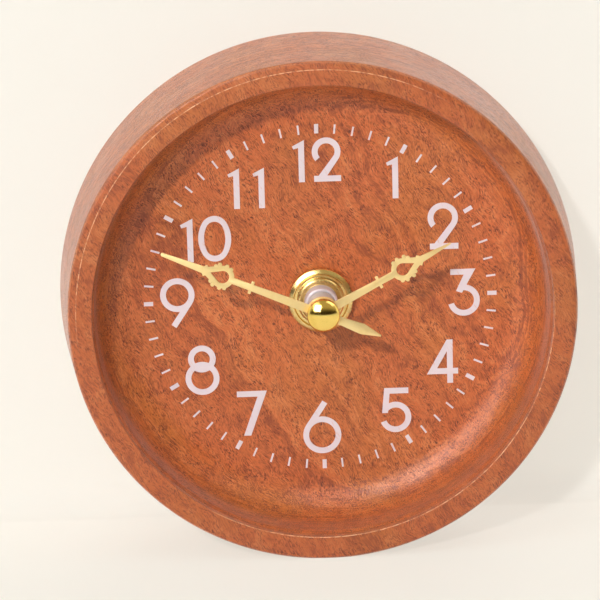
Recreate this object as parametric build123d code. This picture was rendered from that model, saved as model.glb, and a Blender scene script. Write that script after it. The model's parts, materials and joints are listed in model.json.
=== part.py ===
from build123d import *
import os
from math import atan2, cos, degrees, hypot, radians, sin, tan

# Round desk clock in one turned piece of wood, with printed dial, brass hands
# and a battery quartz movement in a recess behind the dial.
# All sizes are millimetres. Every piece is built in the dial frame: x to the right,
# y up and z towards the viewer, from the middle of the dial's surface.
# Depths inside the movement count backwards from the front of its housing.

# Wooden case, turned
bowl_depth = 15.6  # dial surface to rim
rim_outer_r = 52.2
rim_w = 4.9
rim_bevel_w = 1.2
rim_bevel_h = 0.75
rim_bevel_round = 0.4
rim_edge_round = 0.8
lip_depth = 2.1  # straight lip inside the rim
lip_step = 0.4
lip_round = 0.35
bowl_wall_draft = 0.3
cove_r = 8.0
widest_flare = 2.8  # widest ring, beyond the rim
widest_back = 10.6  # widest ring, behind the dial surface
belly_round = 6.0
back_over_housing = 0.6  # back face, behind the movement
back_ring_w = 7.5
back_round = 1.5
dial_floor_t = 5.0
shaft_hole_clear = 0.5  # round the bushing
recess_clear = 3.65  # round the movement's corners
recess_edge_round = 0.6
recess_corner_round = 1.5
base_bite = 0.15  # how far the base flat cuts into the front edge

# Printed dial
print_t = 0.12
track_inset = 2.6  # middle of the marks, inside the dial's flat
mark_l = 1.95
hour_mark_w = 0.88
minute_mark_w = 0.4
numeral_h = 9.7
numeral_stroke = 1.24
numeral_ring_inset = 6.8  # inside the track
hours_on_dial = 12
minutes_on_dial = 60

# Fixing stack on the dial
dial_washer_inset = 0.35  # under the nut's edge
dial_washer_t = 0.5
nut_flange_t = 2.1
nut_bevel_w = 0.8
nut_bevel_h = 0.45
nut_ring_w = 0.15
nut_groove_slope = 0.15
nut_groove_w = 0.68
nut_groove_depth = 0.45
nut_h = 2.9
nut_collar_bevel_w = 0.4
nut_collar_bevel_h = 0.3
nut_lip_w = 0.17
nut_mouth_w = 0.85
nut_mouth_depth = 0.6
bushing_wall = 0.6
bushing_reach = 6.6  # in front of the dial
bushing_bevel = 0.25
bushing_flange_w = 1.5
bushing_flange_t = 1.0
washer_clear = 0.1
rubber_washer_r = 11.0
rubber_washer_t = 0.8

# Hands and cap
hour_tube_r = 2.85
hour_seat_step = 0.35
hour_hand_z = 13.1  # back of the hour hand, in front of the dial
minute_hand_gap = 1.5  # from the hour hand's back to the minute hand's
hand_t = 0.35
hub_overrun = 0.3
arbor_r = 1.5
arbor_seat_step = 0.3
arbor_top = 1.3  # arbor in front of the minute hand's back
hour_hand_inset = 6.2  # tip, inside the track
hour_hand_turn = 62.6
hour_head_from_tip = 11.2
hour_cross_from_head = 5.5
hour_hub_r = 3.4
minute_hand_inset = 0.5  # tip, inside the track
minute_hand_turn = 292.75
minute_head_from_tip = 13.5
minute_cross_from_head = 6.2
minute_hub_r = 3.0
minute_tail_l = 12.7
hand_head_r = 2.35
hand_eye_r = 1.3
hand_eye_point = 2.7  # from the middle of the eye to its point
hand_collar_from_head = 3.85
hand_collar_half_w = 1.25
hand_blade_half_w = 0.74
hand_neck_half_w = 0.68
hand_shank_half_w = 0.98
hand_cross_half_l = 1.36
hand_cross_w = 0.62
hand_bump_r = 0.42
hour_tip_half_w = 0.16
minute_tip_half_w = 0.38
tail_waist_half_w = 0.86
tail_leaf_half_w = 1.14
tail_tip_half_w = 0.16
cap_r = 3.35
cap_wall_h = 1.35  # upright wall below the dome
cap_dome_h = 1.4
cap_shoulder_round = 0.3
cap_bore_clear = 0.15

# Movement housing
housing_corner_r = 3.0
housing_wall = 1.4
front_plate_t = 1.5
rear_wall_t = 1.2
middle_plate_t = 0.8
bay_wall_t = 1.2
bay_from_axis = 12.0

# Gear train: levels, fits and tooth counts
run_gap = 0.05  # radial clearance of every running fit
front_end_gap = 0.3
motion_gear_t = 0.9
motion_level_gap = 0.5
train_gear_t = 0.8
train_level_gap = 0.4
pinion_overhang = 0.15
hub_end_gap = 0.1
friction_gap = 0.03
centre_hub_w = 1.0
seconds_pivot_r = 0.5
seconds_pivot_l = 1.0
train_arbor_r = 0.5
train_pivot_r = 0.4
pivot_inset = 0.1
boss_r = 1.2
boss_l = 4.2
boss_hole_depth = 1.2
rear_pivot_l = 1.0
pivot_hole_clear = 0.05
motion_arbor_r = 1.2
motion_hub_w = 0.3
motion_pivot_r = 0.6
motion_pivot_l = 0.9
hour_wheel_teeth = 40
motion_pinion_teeth = 10
motion_wheel_teeth = 36
cannon_teeth = 12
centre_wheel_teeth = 64
third_pinion_teeth = 8
third_wheel_teeth = 60
seconds_pinion_teeth = 8
seconds_wheel_teeth = 48
intermediate_pinion_teeth = 8
intermediate_wheel_teeth = 50
rotor_pinion_teeth = 10
motion_distance = 10.5  # distances between gear axes
third_distance = 8.64
intermediate_distance = 8.75
rotor_distance = 7.5
motion_angle = 0
third_angle = 180
intermediate_angle = 100
rotor_angle = 135
addendum_share = 0.8  # tooth heights as shares of the module
dedendum_share = 1.25
pitch_tooth_share = 0.4  # tooth widths as shares of the pitch
tip_tooth_share = 0.22
root_tooth_share = 0.5

# Setting knob
knob_r = 6.4
knob_t = 2.0
knob_hub_r = 2.5
knob_hub_l = 0.4
knob_rear_proud = 0.1
knob_notch_r = 0.45
knob_notches = 24
knob_clear = 1.0
knob_floor_t = 1.0
knob_floor_gap = 0.1
shaft_in_knob = 1.6

# Motor and electrics
magnet_r = 3.0
magnet_l = 2.0
magnet_bore_r = 0.9
stator_t = 0.8
stator_post_l = 1.0
stator_ring_w = 1.4
stator_air_gap = 0.5
stator_leg_w = 3.0
stator_post_r = 1.2
core_w = 3.0
core_t = 0.8
core_l = 27.5
core_side_gap = 6.1  # from the housing's side wall
coil_stator_gap = 0.48
coil_top_gap = 0.3
rivet_r = 0.8
rivet_head_r = 1.4
rivet_head_t = 0.5
rivet_depth = 0.6
bobbin_end_gap = 0.85  # from a rivet's head
bobbin_flange_w = 7.0
bobbin_flange_t = 0.8
bobbin_tube_t = 0.6
bobbin_fit = 0.05
winding_r = 3.3
coil_room = 0.6
board_t = 0.8
board_edge_gap = 0.6
board_top_gap = 1.0
board_bottom_gap = 0.9
board_core_gap = 3.0
board_w = 16.0
board_h = 14.6
board_strip_w = 6.5
chip_r = 3.0
chip_h = 1.2
chip_from_left = 5.5
chip_from_top = 8.1
crystal_r = 1.5
crystal_l = 8.0
crystal_from_right = 3.2
crystal_from_top = 7.6
cell_r = 7.1
cell_l = 48.8
cell_nub_r = 2.7
cell_nub_l = 1.5
cell_rim_round = 0.5
cell_front_gap = 0.3
cell_side_gap = 0.2
contact_t = 0.4
contact_w = 4.0
contact_room = 0.1
contact_foot_l = 4.0
lead_w = 1.8
leaf_t = 0.3
leaf_root_t = 0.9
leaf_room = 2.1  # between the left contact and the cell
leaf_half_h = 5.3
leaf_gap = 0.05
contact_rise = 0.7  # from the back of the board

# Every numeral: its digits, its clockwise turn from 12, its distance from the axis as a
# share of numeral_ring_r, and its height and the gap of its digits as shares of numeral_h
numeral_shares = [
    ("12", -0.2, 1.01, 0.955, 0.16),
    ("1", 31.6, 1.015, 0.91, 0),
    ("2", 60.5, 1.02, 1.02, 0),
    ("3", 89.4, 1.03, 1.04, 0),
    ("4", 119.7, 1.0, 0.97, 0),
    ("5", 148.3, 0.995, 1.0, 0),
    ("6", 180.7, 0.955, 1.19, 0),
    ("7", 211.6, 0.98, 1.0, 0),
    ("8", 239.9, 1.0, 1.105, 0),
    ("9", 270.0, 1.025, 1.1, 0),
    ("10", 299.8, 0.93, 1.0, 0.11),
    ("11", 328.4, 0.97, 0.92, 0.285),
]
paired_one_height_share = 0.955  # height of a 1 beside another digit
# Digit widths as shares of the digit's height
width_shares = {
    "0": 0.71,
    "1": 0.285,
    "2": 0.645,
    "3": 0.668,
    "4": 0.7,
    "5": 0.686,
    "6": 0.7,
    "7": 0.655,
    "8": 0.669,
    "9": 0.677,
}
oval_end_share = 0.84  # end radius of the 0, of half its width

# Places worked out from the sizes above
cut_over = bowl_depth  # overrun of every cut
rim_inner_r = rim_outer_r - rim_w
bowl_r = rim_inner_r - lip_step - bowl_wall_draft
widest_r = rim_outer_r + widest_flare
axis_height = rim_outer_r - base_bite
track_r = bowl_r - cove_r - track_inset
numeral_ring_r = track_r - numeral_ring_inset
hour_hand_l = track_r - hour_hand_inset
minute_hand_l = track_r - minute_hand_inset
minute_hand_z = hour_hand_z + minute_hand_gap
cap_foot_z = minute_hand_z + hand_t
hour_seat_r = hour_tube_r - hour_seat_step
arbor_seat_r = arbor_r - arbor_seat_step
bushing_r = hour_tube_r + run_gap + bushing_wall
bushing_flange_r = bushing_r + bushing_flange_w
shaft_hole_r = bushing_r + shaft_hole_clear
nut_collar_r = bushing_r + nut_mouth_w + nut_lip_w + nut_collar_bevel_w
nut_flange_r = nut_collar_r + nut_groove_w + nut_groove_slope + nut_ring_w + nut_bevel_w
housing_front_z = -(dial_floor_t + rubber_washer_t)
hour_wheel_d = front_plate_t + front_end_gap
cannon_d = hour_wheel_d + motion_gear_t + motion_level_gap
middle_plate_d = cannon_d + motion_gear_t + motion_level_gap
plate_back_d = middle_plate_d + middle_plate_t
centre_wheel_d = plate_back_d + train_level_gap
third_wheel_d = centre_wheel_d + train_gear_t + train_level_gap
seconds_wheel_d = third_wheel_d + train_gear_t + train_level_gap
intermediate_wheel_d = seconds_wheel_d + train_gear_t + train_level_gap
boss_d = intermediate_wheel_d + train_gear_t + train_level_gap
rear_wall_d = boss_d + boss_l
housing_depth = rear_wall_d + rear_wall_t
back_depth = dial_floor_t + rubber_washer_t + housing_depth + back_over_housing
knob_back_d = housing_depth + knob_rear_proud
knob_pocket_r = knob_r + knob_clear
knob_pocket_d = knob_back_d - knob_t - knob_hub_l - knob_floor_gap
stator_d = plate_back_d + stator_post_l
core_d = stator_d + stator_t
stator_inner_r = magnet_r + stator_air_gap
stator_outer_r = stator_inner_r + stator_ring_w
magnet_d = stator_d + stator_t / 2 - magnet_l / 2
board_back_d = plate_back_d + board_t


def polar(radius, angle, start=(0, 0)):
    """A point at a distance and an angle, in degrees from +x, from a start point."""
    return (start[0] + radius * cos(radians(angle)), start[1] + radius * sin(radians(angle)))


motion_at = polar(motion_distance, motion_angle)
third_at = polar(third_distance, third_angle)
intermediate_at = polar(intermediate_distance, intermediate_angle)
rotor_at = polar(rotor_distance, rotor_angle, intermediate_at)

# Inside of the housing, which the cell, the coil and the train fill
bay_top_y = -bay_from_axis
bay_wall_top_y = bay_top_y + bay_wall_t
cell_y = bay_top_y - cell_side_gap - cell_r
cell_d = front_plate_t + cell_front_gap + cell_r
inner_low_y = cell_y - cell_r - cell_side_gap
core_y = rotor_at[1] + stator_outer_r + coil_stator_gap + bobbin_flange_w / 2
inner_top_y = core_y + bobbin_flange_w / 2 + coil_top_gap
cell_row_w = cell_l + cell_nub_l + 2 * contact_t + leaf_room
coil_row_w = core_side_gap + core_l + board_core_gap + board_w + board_edge_gap
inner_half_w = max(cell_row_w, coil_row_w) / 2
housing_corner_x = inner_half_w + housing_wall - housing_corner_r
housing_corner_y = max(inner_top_y, -inner_low_y) + housing_wall - housing_corner_r
recess_r = hypot(housing_corner_x, housing_corner_y) + housing_corner_r + recess_clear
back_face_r = recess_r + back_ring_w
nub_tip_x = inner_half_w - contact_t
cell_right_x = nub_tip_x - cell_nub_l
cell_left_x = cell_right_x - cell_l
contact_front_d = board_back_d + contact_rise
board_right_x = inner_half_w - board_edge_gap
board_left_x = board_right_x - board_w
board_strip_x = board_right_x - board_strip_w
board_top_y = inner_top_y - board_top_gap
board_step_y = board_top_y - board_h
board_bottom_y = bay_wall_top_y + board_bottom_gap
core_right_x = board_left_x - board_core_gap
core_left_x = core_right_x - core_l
bobbin_middle_x = (core_left_x + core_right_x) / 2
bobbin_l = core_l - core_w - 2 * (rivet_head_r + bobbin_end_gap)
rivet_places = (core_left_x + core_w / 2, core_right_x - core_w / 2)


# Shared forms


def rounded_face(corners):
    """A closed outline from (x, y, radius) corners, where a radius over zero rounds the corner."""
    entries, exits, edges = [], [], []
    count = len(corners)
    for k, (x, y, radius) in enumerate(corners):
        corner = Vector(x, y)
        before = (Vector(*corners[k - 1][:2]) - corner).normalized()
        after = (Vector(*corners[(k + 1) % count][:2]) - corner).normalized()
        if radius == 0:
            entries.append(corner)
            exits.append(corner)
            continue
        half = radians(before.get_angle(after)) / 2
        reach = radius / tan(half)
        entries.append(corner + before * reach)
        exits.append(corner + after * reach)
        middle = corner + (before + after).normalized() * (radius / sin(half) - radius)
        edges.append(ThreePointArc(entries[k], middle, exits[k]))
    for k in range(count):
        edges.append(Line(exits[k], entries[(k + 1) % count]))
    return make_face(edges)


def turned(corners):
    """A solid of revolution about z from (radius, z, rounding) corners."""
    return revolve(Plane.XZ * rounded_face(corners), axis=Axis.Z)


def disc(radius, low, high, at=(0, 0)):
    """A cylinder along z between two heights."""
    return Pos(at[0], at[1], (low + high) / 2) * Cylinder(radius, high - low)


def deep_disc(radius, near, far, at=(0, 0)):
    """A cylinder between two depths inside the movement."""
    return disc(radius, housing_front_z - far, housing_front_z - near, at)


def deep_plate(sketch, near, far):
    """A flat outline made into a plate between two depths inside the movement."""
    return Pos(0, 0, housing_front_z - far) * extrude(sketch, far - near)


def deep_block(low_x, high_x, low_y, high_y, near, far):
    """A block between two depths inside the movement."""
    size = (high_x - low_x, high_y - low_y, far - near)
    middle = ((low_x + high_x) / 2, (low_y + high_y) / 2, housing_front_z - (near + far) / 2)
    return Pos(*middle) * Box(*size)


def rectangle(low_x, high_x, low_y, high_y):
    """A flat rectangle between its sides."""
    return Pos((low_x + high_x) / 2, (low_y + high_y) / 2) * Rectangle(high_x - low_x, high_y - low_y)


def gear(teeth, distance, mate_teeth, near, far, at, faces, gap_to_mate):
    """A spur gear between two depths, with a tooth or a gap turned towards its mate."""
    module = 2 * distance / (teeth + mate_teeth)
    pitch_r = module * teeth / 2
    tip_r = pitch_r + module * addendum_share
    root_r = pitch_r - module * dedendum_share
    pitch = 360 / teeth
    lead = degrees(atan2(faces[1] - at[1], faces[0] - at[0])) + (pitch / 2 if gap_to_mate else 0)
    points = []
    for k in range(teeth):
        middle = lead + k * pitch
        for radius, share, side in (
            (root_r, root_tooth_share, -1),
            (pitch_r, pitch_tooth_share, -1),
            (tip_r, tip_tooth_share, -1),
            (tip_r, tip_tooth_share, 1),
            (pitch_r, pitch_tooth_share, 1),
            (root_r, root_tooth_share, 1),
        ):
            points.append(polar(radius, middle + side * share * pitch / 2, at))
    return deep_plate(make_face(Polyline(*points, close=True)), near, far)


# Wooden case


def make_case():
    """The turned case with its bowl, back recess, shaft hole and base flat."""
    lip_z = bowl_depth - lip_depth
    body = turned(
        [
            (shaft_hole_r, 0, 0),
            (bowl_r, 0, cove_r),
            (rim_inner_r - lip_step, lip_z - lip_step, 0),
            (rim_inner_r, lip_z, 0),
            (rim_inner_r, bowl_depth, lip_round),
            (rim_outer_r - rim_bevel_w, bowl_depth, rim_bevel_round),
            (rim_outer_r, bowl_depth - rim_bevel_h, rim_edge_round),
            (widest_r, -widest_back, belly_round),
            (back_face_r, -back_depth, back_round),
            (recess_r, -back_depth, recess_edge_round),
            (recess_r, -dial_floor_t, recess_corner_round),
            (shaft_hole_r, -dial_floor_t, 0),
        ]
    )
    below = rectangle(-widest_r, widest_r, -widest_r - cut_over, -axis_height)
    return body - Pos(0, 0, -back_depth - cut_over) * extrude(below, back_depth + bowl_depth + 2 * cut_over)


# Printed dial


def bar(start, end, stroke):
    """A straight stroke with square ends."""
    length = hypot(end[0] - start[0], end[1] - start[1])
    turn = degrees(atan2(end[1] - start[1], end[0] - start[0]))
    middle = ((start[0] + end[0]) / 2, (start[1] + end[1]) / 2)
    return Pos(*middle) * Rot(Z=turn) * Rectangle(length, stroke)


def ring(middle, radius, stroke):
    """A full circle's stroke, measured to its outer edge."""
    return Pos(*middle) * (Circle(radius) - Circle(radius - stroke))


def bow(middle, radius, start, sweep, stroke):
    """Part of a ring, from a start angle through a sweep in degrees."""
    pieces = []
    for r in (radius, radius - stroke):
        pieces.append([polar(r, start + sweep * share, middle) for share in (0, 1 / 2, 1)])
    (a, b, c), (d, e, f) = pieces
    return make_face([ThreePointArc(a, b, c), Line(c, f), ThreePointArc(f, e, d), Line(d, a)])


def oval(half_w, half_h):
    """An upright oval of two end arcs and two side arcs."""
    end_r = half_w * oval_end_share
    rise = half_h - end_r
    side_r = (rise**2 + half_w**2 - end_r**2) / (2 * (half_w - end_r))
    turn = degrees(atan2(rise, side_r - half_w))
    upper_right = polar(end_r, turn, (0, rise))
    upper_left = polar(end_r, 180 - turn, (0, rise))
    lower_left = polar(end_r, 180 + turn, (0, -rise))
    lower_right = polar(end_r, -turn, (0, -rise))
    return make_face(
        [
            ThreePointArc(upper_right, (0, half_h), upper_left),
            ThreePointArc(upper_left, (-half_w, 0), lower_left),
            ThreePointArc(lower_left, (0, -half_h), lower_right),
            ThreePointArc(lower_right, (half_w, 0), upper_right),
        ]
    )


def digit_0(w, h, t):
    return oval(w / 2, h / 2) - oval(w / 2 - t, h / 2 - t)


def digit_1(w, h, t):
    flag_top_share, flag_foot_share, flag_root_share, flag_lean_share = 0.145, 0.215, 0.185, 0.03
    top, stem_x = h / 2, w / 2 - t
    outline = [
        (w / 2, -h / 2),
        (w / 2, top),
        (-w / 2, top - h * flag_top_share),
        (-w / 2 + h * flag_lean_share, top - h * flag_foot_share),
        (stem_x, top - h * flag_root_share),
        (stem_x, -h / 2),
    ]
    return make_face(Polyline(*outline, close=True))


def digit_2(w, h, t):
    start, sweep = -36, 256
    foot_share = 0.04
    r = w / 2
    middle = (0, h / 2 - r)
    inner, outer = polar(r - t, start, middle), polar(r, start, middle)
    foot = (-w / 2 + h * foot_share, -h / 2)
    toe = (foot[0] + t / sin(atan2(outer[1] - foot[1], outer[0] - foot[0])), foot[1])
    leg = make_face(Polyline(foot, toe, outer, inner, close=True))
    return bow(middle, r, start, sweep, t) + leg + rectangle(foot[0], w / 2, foot[1], foot[1] + t)


def digit_3(w, h, t):
    start, sweep = -165, 275
    bar_left_share, bar_right_share, knee_share = 0.06, 0.085, 0.16
    slant_top_share, knee_drop_share = 1.5, 1 / 3  # of the stroke
    r = w / 2
    middle = (0, -h / 2 + r)
    knee_x, knee_y = -h * knee_share, polar(r - t, start + sweep, middle)[1]
    right = w / 2 - h * bar_right_share
    top = rectangle(-w / 2 + h * bar_left_share, right - t / 2, h / 2 - t, h / 2)
    slant = [
        (right, h / 2),
        (right - t * slant_top_share, h / 2),
        (knee_x, knee_y),
        (knee_x + t, knee_y - t * knee_drop_share),
    ]
    return bow(middle, r, start, sweep, t) + top + make_face(Polyline(*slant, close=True))


def digit_4(w, h, t):
    stem_share, bar_share = 0.115, 0.21
    stem_right = w / 2 - h * stem_share
    stem_left = stem_right - t
    bar_low = -h / 2 + h * bar_share
    outer = [(stem_right, h / 2), (stem_left, h / 2), (-w / 2, bar_low), (stem_right, bar_low)]
    lean = (stem_left + w / 2) / (h / 2 - bar_low)
    inner_low = bar_low + t
    inner_left = -w / 2 + t * (lean + hypot(1, lean))
    inner_high = inner_low + (stem_left - inner_left) / lean
    inner = [(inner_left, inner_low), (stem_left, inner_low), (stem_left, inner_high)]
    frame = make_face(Polyline(*outer, close=True)) - make_face(Polyline(*inner, close=True))
    frame += rectangle(stem_left, stem_right, -h / 2, h / 2)
    return frame + rectangle(0, w / 2, bar_low, bar_low + t)


def digit_5(w, h, t):
    start, sweep = -160, 305
    stem_lean_share, bar_end_share = 0.055, 0.055
    r = w / 2
    middle = (0, -h / 2 + r)
    root = polar(r - t / 2, start + sweep, middle)
    left, low = root[0] - t / 2, root[1] - t / 2
    top_left = left + h * stem_lean_share
    stem = Polyline((left, low), (left + t, low), (top_left + t, h / 2), (top_left, h / 2), close=True)
    top = rectangle(top_left + t / 2, w / 2 - h * bar_end_share, h / 2 - t, h / 2)
    return bow(middle, r, start, sweep, t) + make_face(stem) + top


def digit_6(w, h, t):
    tangent_at = 146
    rise = radians(tangent_at - 90)
    r = w / 2
    middle = (0, -h / 2 + r)
    start = polar(r - t / 2, tangent_at, middle)
    run = (h / 2 - t * cos(rise) / 2 - start[1]) / sin(rise)
    return ring(middle, r, t) + bar(start, polar(run, tangent_at - 90, start), t)


def digit_7(w, h, t):
    foot_share, stroke_share = 0.13, 1.15
    top = rectangle(-w / 2, w / 2 - t / 2, h / 2 - t, h / 2)
    foot = -w / 2 + h * foot_share
    wide = t * stroke_share * hypot(1, (w / 2 - foot - t) / h)
    slant = [(w / 2, h / 2), (w / 2 - wide, h / 2), (foot, -h / 2), (foot + wide, -h / 2)]
    return top + make_face(Polyline(*slant, close=True))


def digit_8(w, h, t):
    upper_r_share = 0.272
    upper_r = h * upper_r_share
    return ring((0, h / 2 - upper_r), upper_r, t) + ring((0, -h / 2 + w / 2), w / 2, t)


def digit_9(w, h, t):
    return Rot(Z=180) * digit_6(w, h, t)


digit_makers = {
    "0": digit_0,
    "1": digit_1,
    "2": digit_2,
    "3": digit_3,
    "4": digit_4,
    "5": digit_5,
    "6": digit_6,
    "7": digit_7,
    "8": digit_8,
    "9": digit_9,
}


def make_hour_numerals():
    """The twelve upright numerals, each digit a thin print on the dial."""
    prints = []
    for text, turn, ring_share, height_share, gap_share in numeral_shares:
        height = numeral_h * height_share
        gap = numeral_h * gap_share
        sizes = []
        for digit in text:
            paired_one = digit == "1" and len(text) > 1
            digit_h = height * paired_one_height_share if paired_one else height
            sizes.append((digit, digit_h * width_shares[digit], digit_h))
        middle = polar(numeral_ring_r * ring_share, 90 - turn)
        x = middle[0] - (sum(w for _, w, _ in sizes) + gap * (len(text) - 1)) / 2
        for digit, w, h in sizes:
            at = Pos(x + w / 2, middle[1] - height / 2 + h / 2)
            prints.append(at * extrude(digit_makers[digit](w, h, numeral_stroke), print_t))
            x += w + gap
    return Compound(children=[p for piece in prints for p in piece.solids()])


def make_marks(hour_marks):
    """The printed track: twelve broad marks, or the thin marks between them."""
    prints = []
    for minute in range(minutes_on_dial):
        if (minute % (minutes_on_dial // hours_on_dial) == 0) != hour_marks:
            continue
        width = hour_mark_w if hour_marks else minute_mark_w
        mark = Pos(0, track_r, print_t / 2) * Box(width, mark_l, print_t)
        prints.append(Rot(Z=-360 * minute / minutes_on_dial) * mark)
    return Compound(children=prints)


# Fixing stack


def make_dial_washer():
    washer_r = nut_flange_r - dial_washer_inset
    return disc(washer_r, 0, dial_washer_t) - disc(bushing_r + washer_clear, -cut_over, cut_over)


def make_fixing_nut():
    """The round brass nut with its bevelled flange, groove and collar."""
    low = dial_washer_t
    flange_top = low + nut_flange_t
    ring_r = nut_flange_r - nut_bevel_w
    groove_r = ring_r - nut_ring_w - nut_groove_slope
    groove_z = flange_top - nut_groove_depth
    top = low + nut_h
    return turned(
        [
            (bushing_r, low, 0),
            (nut_flange_r, low, 0),
            (nut_flange_r, flange_top - nut_bevel_h, 0),
            (ring_r, flange_top, 0),
            (ring_r - nut_ring_w, flange_top, 0),
            (groove_r, groove_z, 0),
            (nut_collar_r, groove_z, 0),
            (nut_collar_r, top - nut_collar_bevel_h, 0),
            (nut_collar_r - nut_collar_bevel_w, top, 0),
            (bushing_r + nut_mouth_w, top, 0),
            (bushing_r, top - nut_mouth_depth, 0),
        ]
    )


def make_threaded_bushing():
    """The silvery bushing that the nut screws on, flanged into the front plate."""
    back_z = housing_front_z - front_plate_t
    bore = hour_tube_r + run_gap
    flange_z = back_z + bushing_flange_t
    return turned(
        [
            (bore, back_z, 0),
            (bushing_flange_r, back_z, 0),
            (bushing_flange_r, flange_z, 0),
            (bushing_r, flange_z, 0),
            (bushing_r, bushing_reach - bushing_bevel, 0),
            (bushing_r - bushing_bevel, bushing_reach, 0),
            (bore, bushing_reach, 0),
        ]
    )


def make_rubber_washer():
    ring_solid = disc(rubber_washer_r, housing_front_z, -dial_floor_t)
    return ring_solid - disc(bushing_r + washer_clear, housing_front_z - cut_over, cut_over)


# Hands and cap


# Bumps on a hand's head: the angle above its side, and the distance as a share of its radius
head_bump_shares = [(52, 1.12), (33, 1.12), (-2, 1.0), (-28, 0.98)]
throat_foot_angle = 30


def hand_outline(length, tip_half_w, head_from_tip, cross_from_head, hub_r):
    """A flat hand along +y: blade, collar, pierced head, cross, shank and hub."""
    head_at = length - head_from_tip
    cross_at = head_at - cross_from_head
    collar_at = head_at + hand_collar_from_head
    tip_y = length - tip_half_w
    blade = [
        (-tip_half_w, tip_y),
        (tip_half_w, tip_y),
        (hand_blade_half_w, collar_at),
        (-hand_blade_half_w, collar_at),
    ]
    throat_x, throat_y = polar(hand_head_r, throat_foot_angle, (0, head_at))
    throat = [
        (-hand_blade_half_w, collar_at),
        (hand_blade_half_w, collar_at),
        (throat_x, throat_y),
        (-throat_x, throat_y),
    ]
    neck_y = head_at - hand_head_r + hand_neck_half_w
    shank = [
        (-hand_neck_half_w, neck_y),
        (hand_neck_half_w, neck_y),
        (hand_neck_half_w, cross_at),
        (hand_shank_half_w, 0),
        (-hand_shank_half_w, 0),
        (-hand_neck_half_w, cross_at),
    ]
    outline = Circle(hub_r) + Pos(0, head_at) * Circle(hand_head_r) + Pos(0, tip_y) * Circle(tip_half_w)
    for points in (blade, throat, shank):
        outline += make_face(Polyline(*points, close=True))
    collar_side = hand_collar_half_w * 2**0.5
    outline += Pos(0, collar_at) * Rot(Z=45) * Rectangle(collar_side, collar_side)
    outline += Pos(0, cross_at) * Rectangle(2 * hand_cross_half_l, hand_cross_w)
    for side in (-1, 1):
        for angle, reach_share in head_bump_shares:
            bump = polar(hand_head_r * reach_share, 90 + side * (90 - angle), (0, head_at))
            outline += Pos(*bump) * Circle(hand_bump_r)
    return outline - hand_eye(head_at)


def hand_eye(head_at):
    """The opening in a hand's head: round below, pointed towards the tip."""
    touch = degrees(atan2((hand_eye_point**2 - hand_eye_r**2) ** 0.5, hand_eye_r))
    points = [polar(hand_eye_r, 90 + side * touch, (0, head_at)) for side in (-1, 1)]
    point = Polyline((0, head_at + hand_eye_point), points[0], (0, head_at), points[1], close=True)
    return Pos(0, head_at) * Circle(hand_eye_r) + make_face(point)


def make_hour_hand():
    flat = hand_outline(hour_hand_l, hour_tip_half_w, hour_head_from_tip, hour_cross_from_head, hour_hub_r)
    flat -= Circle(hour_seat_r)
    return Rot(Z=-hour_hand_turn) * Pos(0, 0, hour_hand_z) * extrude(flat, hand_t)


def tail_outline():
    """The minute hand's short leaf-shaped tail, along -y."""
    waist_at_share, leaf_at_share = 0.34, 0.68
    half = [
        (tail_waist_half_w, 0),
        (tail_waist_half_w, -minute_tail_l * waist_at_share),
        (tail_leaf_half_w, -minute_tail_l * leaf_at_share),
        (tail_tip_half_w, -minute_tail_l),
    ]
    mirrored = [(-x, y) for x, y in reversed(half)]
    return make_face(Polyline(*half, *mirrored, close=True))


def make_minute_hand():
    flat = hand_outline(
        minute_hand_l, minute_tip_half_w, minute_head_from_tip, minute_cross_from_head, minute_hub_r
    )
    flat = flat + tail_outline() - Circle(arbor_seat_r)
    return Rot(Z=-minute_hand_turn) * Pos(0, 0, minute_hand_z) * extrude(flat, hand_t)


def make_hand_cap():
    """The polished domed cap nut, flat where it rests on the minute hand and bored for the arbor."""
    shoulder_z = cap_foot_z + cap_wall_h
    tip_z = shoulder_z + cap_dome_h
    dome_r = (cap_r**2 + cap_dome_h**2) / (2 * cap_dome_h)
    cap = disc(cap_r, cap_foot_z, tip_z) & Pos(0, 0, tip_z - dome_r) * Sphere(dome_r)
    near, far = shoulder_z - cap_shoulder_round, shoulder_z + cap_shoulder_round
    cap = fillet(cap.edges().filter_by_position(Axis.Z, near, far), cap_shoulder_round)
    arbor_end = minute_hand_z + arbor_top
    return cap - disc(arbor_seat_r, cap_foot_z - cut_over, arbor_end + cap_bore_clear)


# Gear train


def make_minute_arbor():
    """The centre arbor with its cannon pinion, hand seat and bore for the seconds pivot."""
    solid = disc(arbor_r, housing_front_z - cannon_d, minute_hand_z)
    solid += disc(arbor_seat_r, minute_hand_z, minute_hand_z + arbor_top)
    far = cannon_d + motion_gear_t
    solid += gear(cannon_teeth, motion_distance, motion_wheel_teeth, cannon_d, far, (0, 0), motion_at, False)
    end_d = centre_wheel_d + train_gear_t + hub_end_gap
    solid += deep_disc(arbor_seat_r, cannon_d, end_d)
    bore_d = end_d - seconds_pivot_l - hub_end_gap
    return solid - deep_disc(seconds_pivot_r + run_gap, bore_d, end_d + cut_over)


def make_centre_wheel():
    """The wheel that slips on the arbor when the hands are set."""
    teeth, mate_teeth = centre_wheel_teeth, third_pinion_teeth
    wheel = train_wheel(teeth, third_distance, mate_teeth, centre_wheel_d, (0, 0), third_at)
    hub_r = arbor_seat_r + centre_hub_w
    wheel += deep_disc(hub_r, plate_back_d + hub_end_gap, centre_wheel_d + train_gear_t)
    return wheel - deep_disc(arbor_seat_r + friction_gap, 0, housing_depth)


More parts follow.
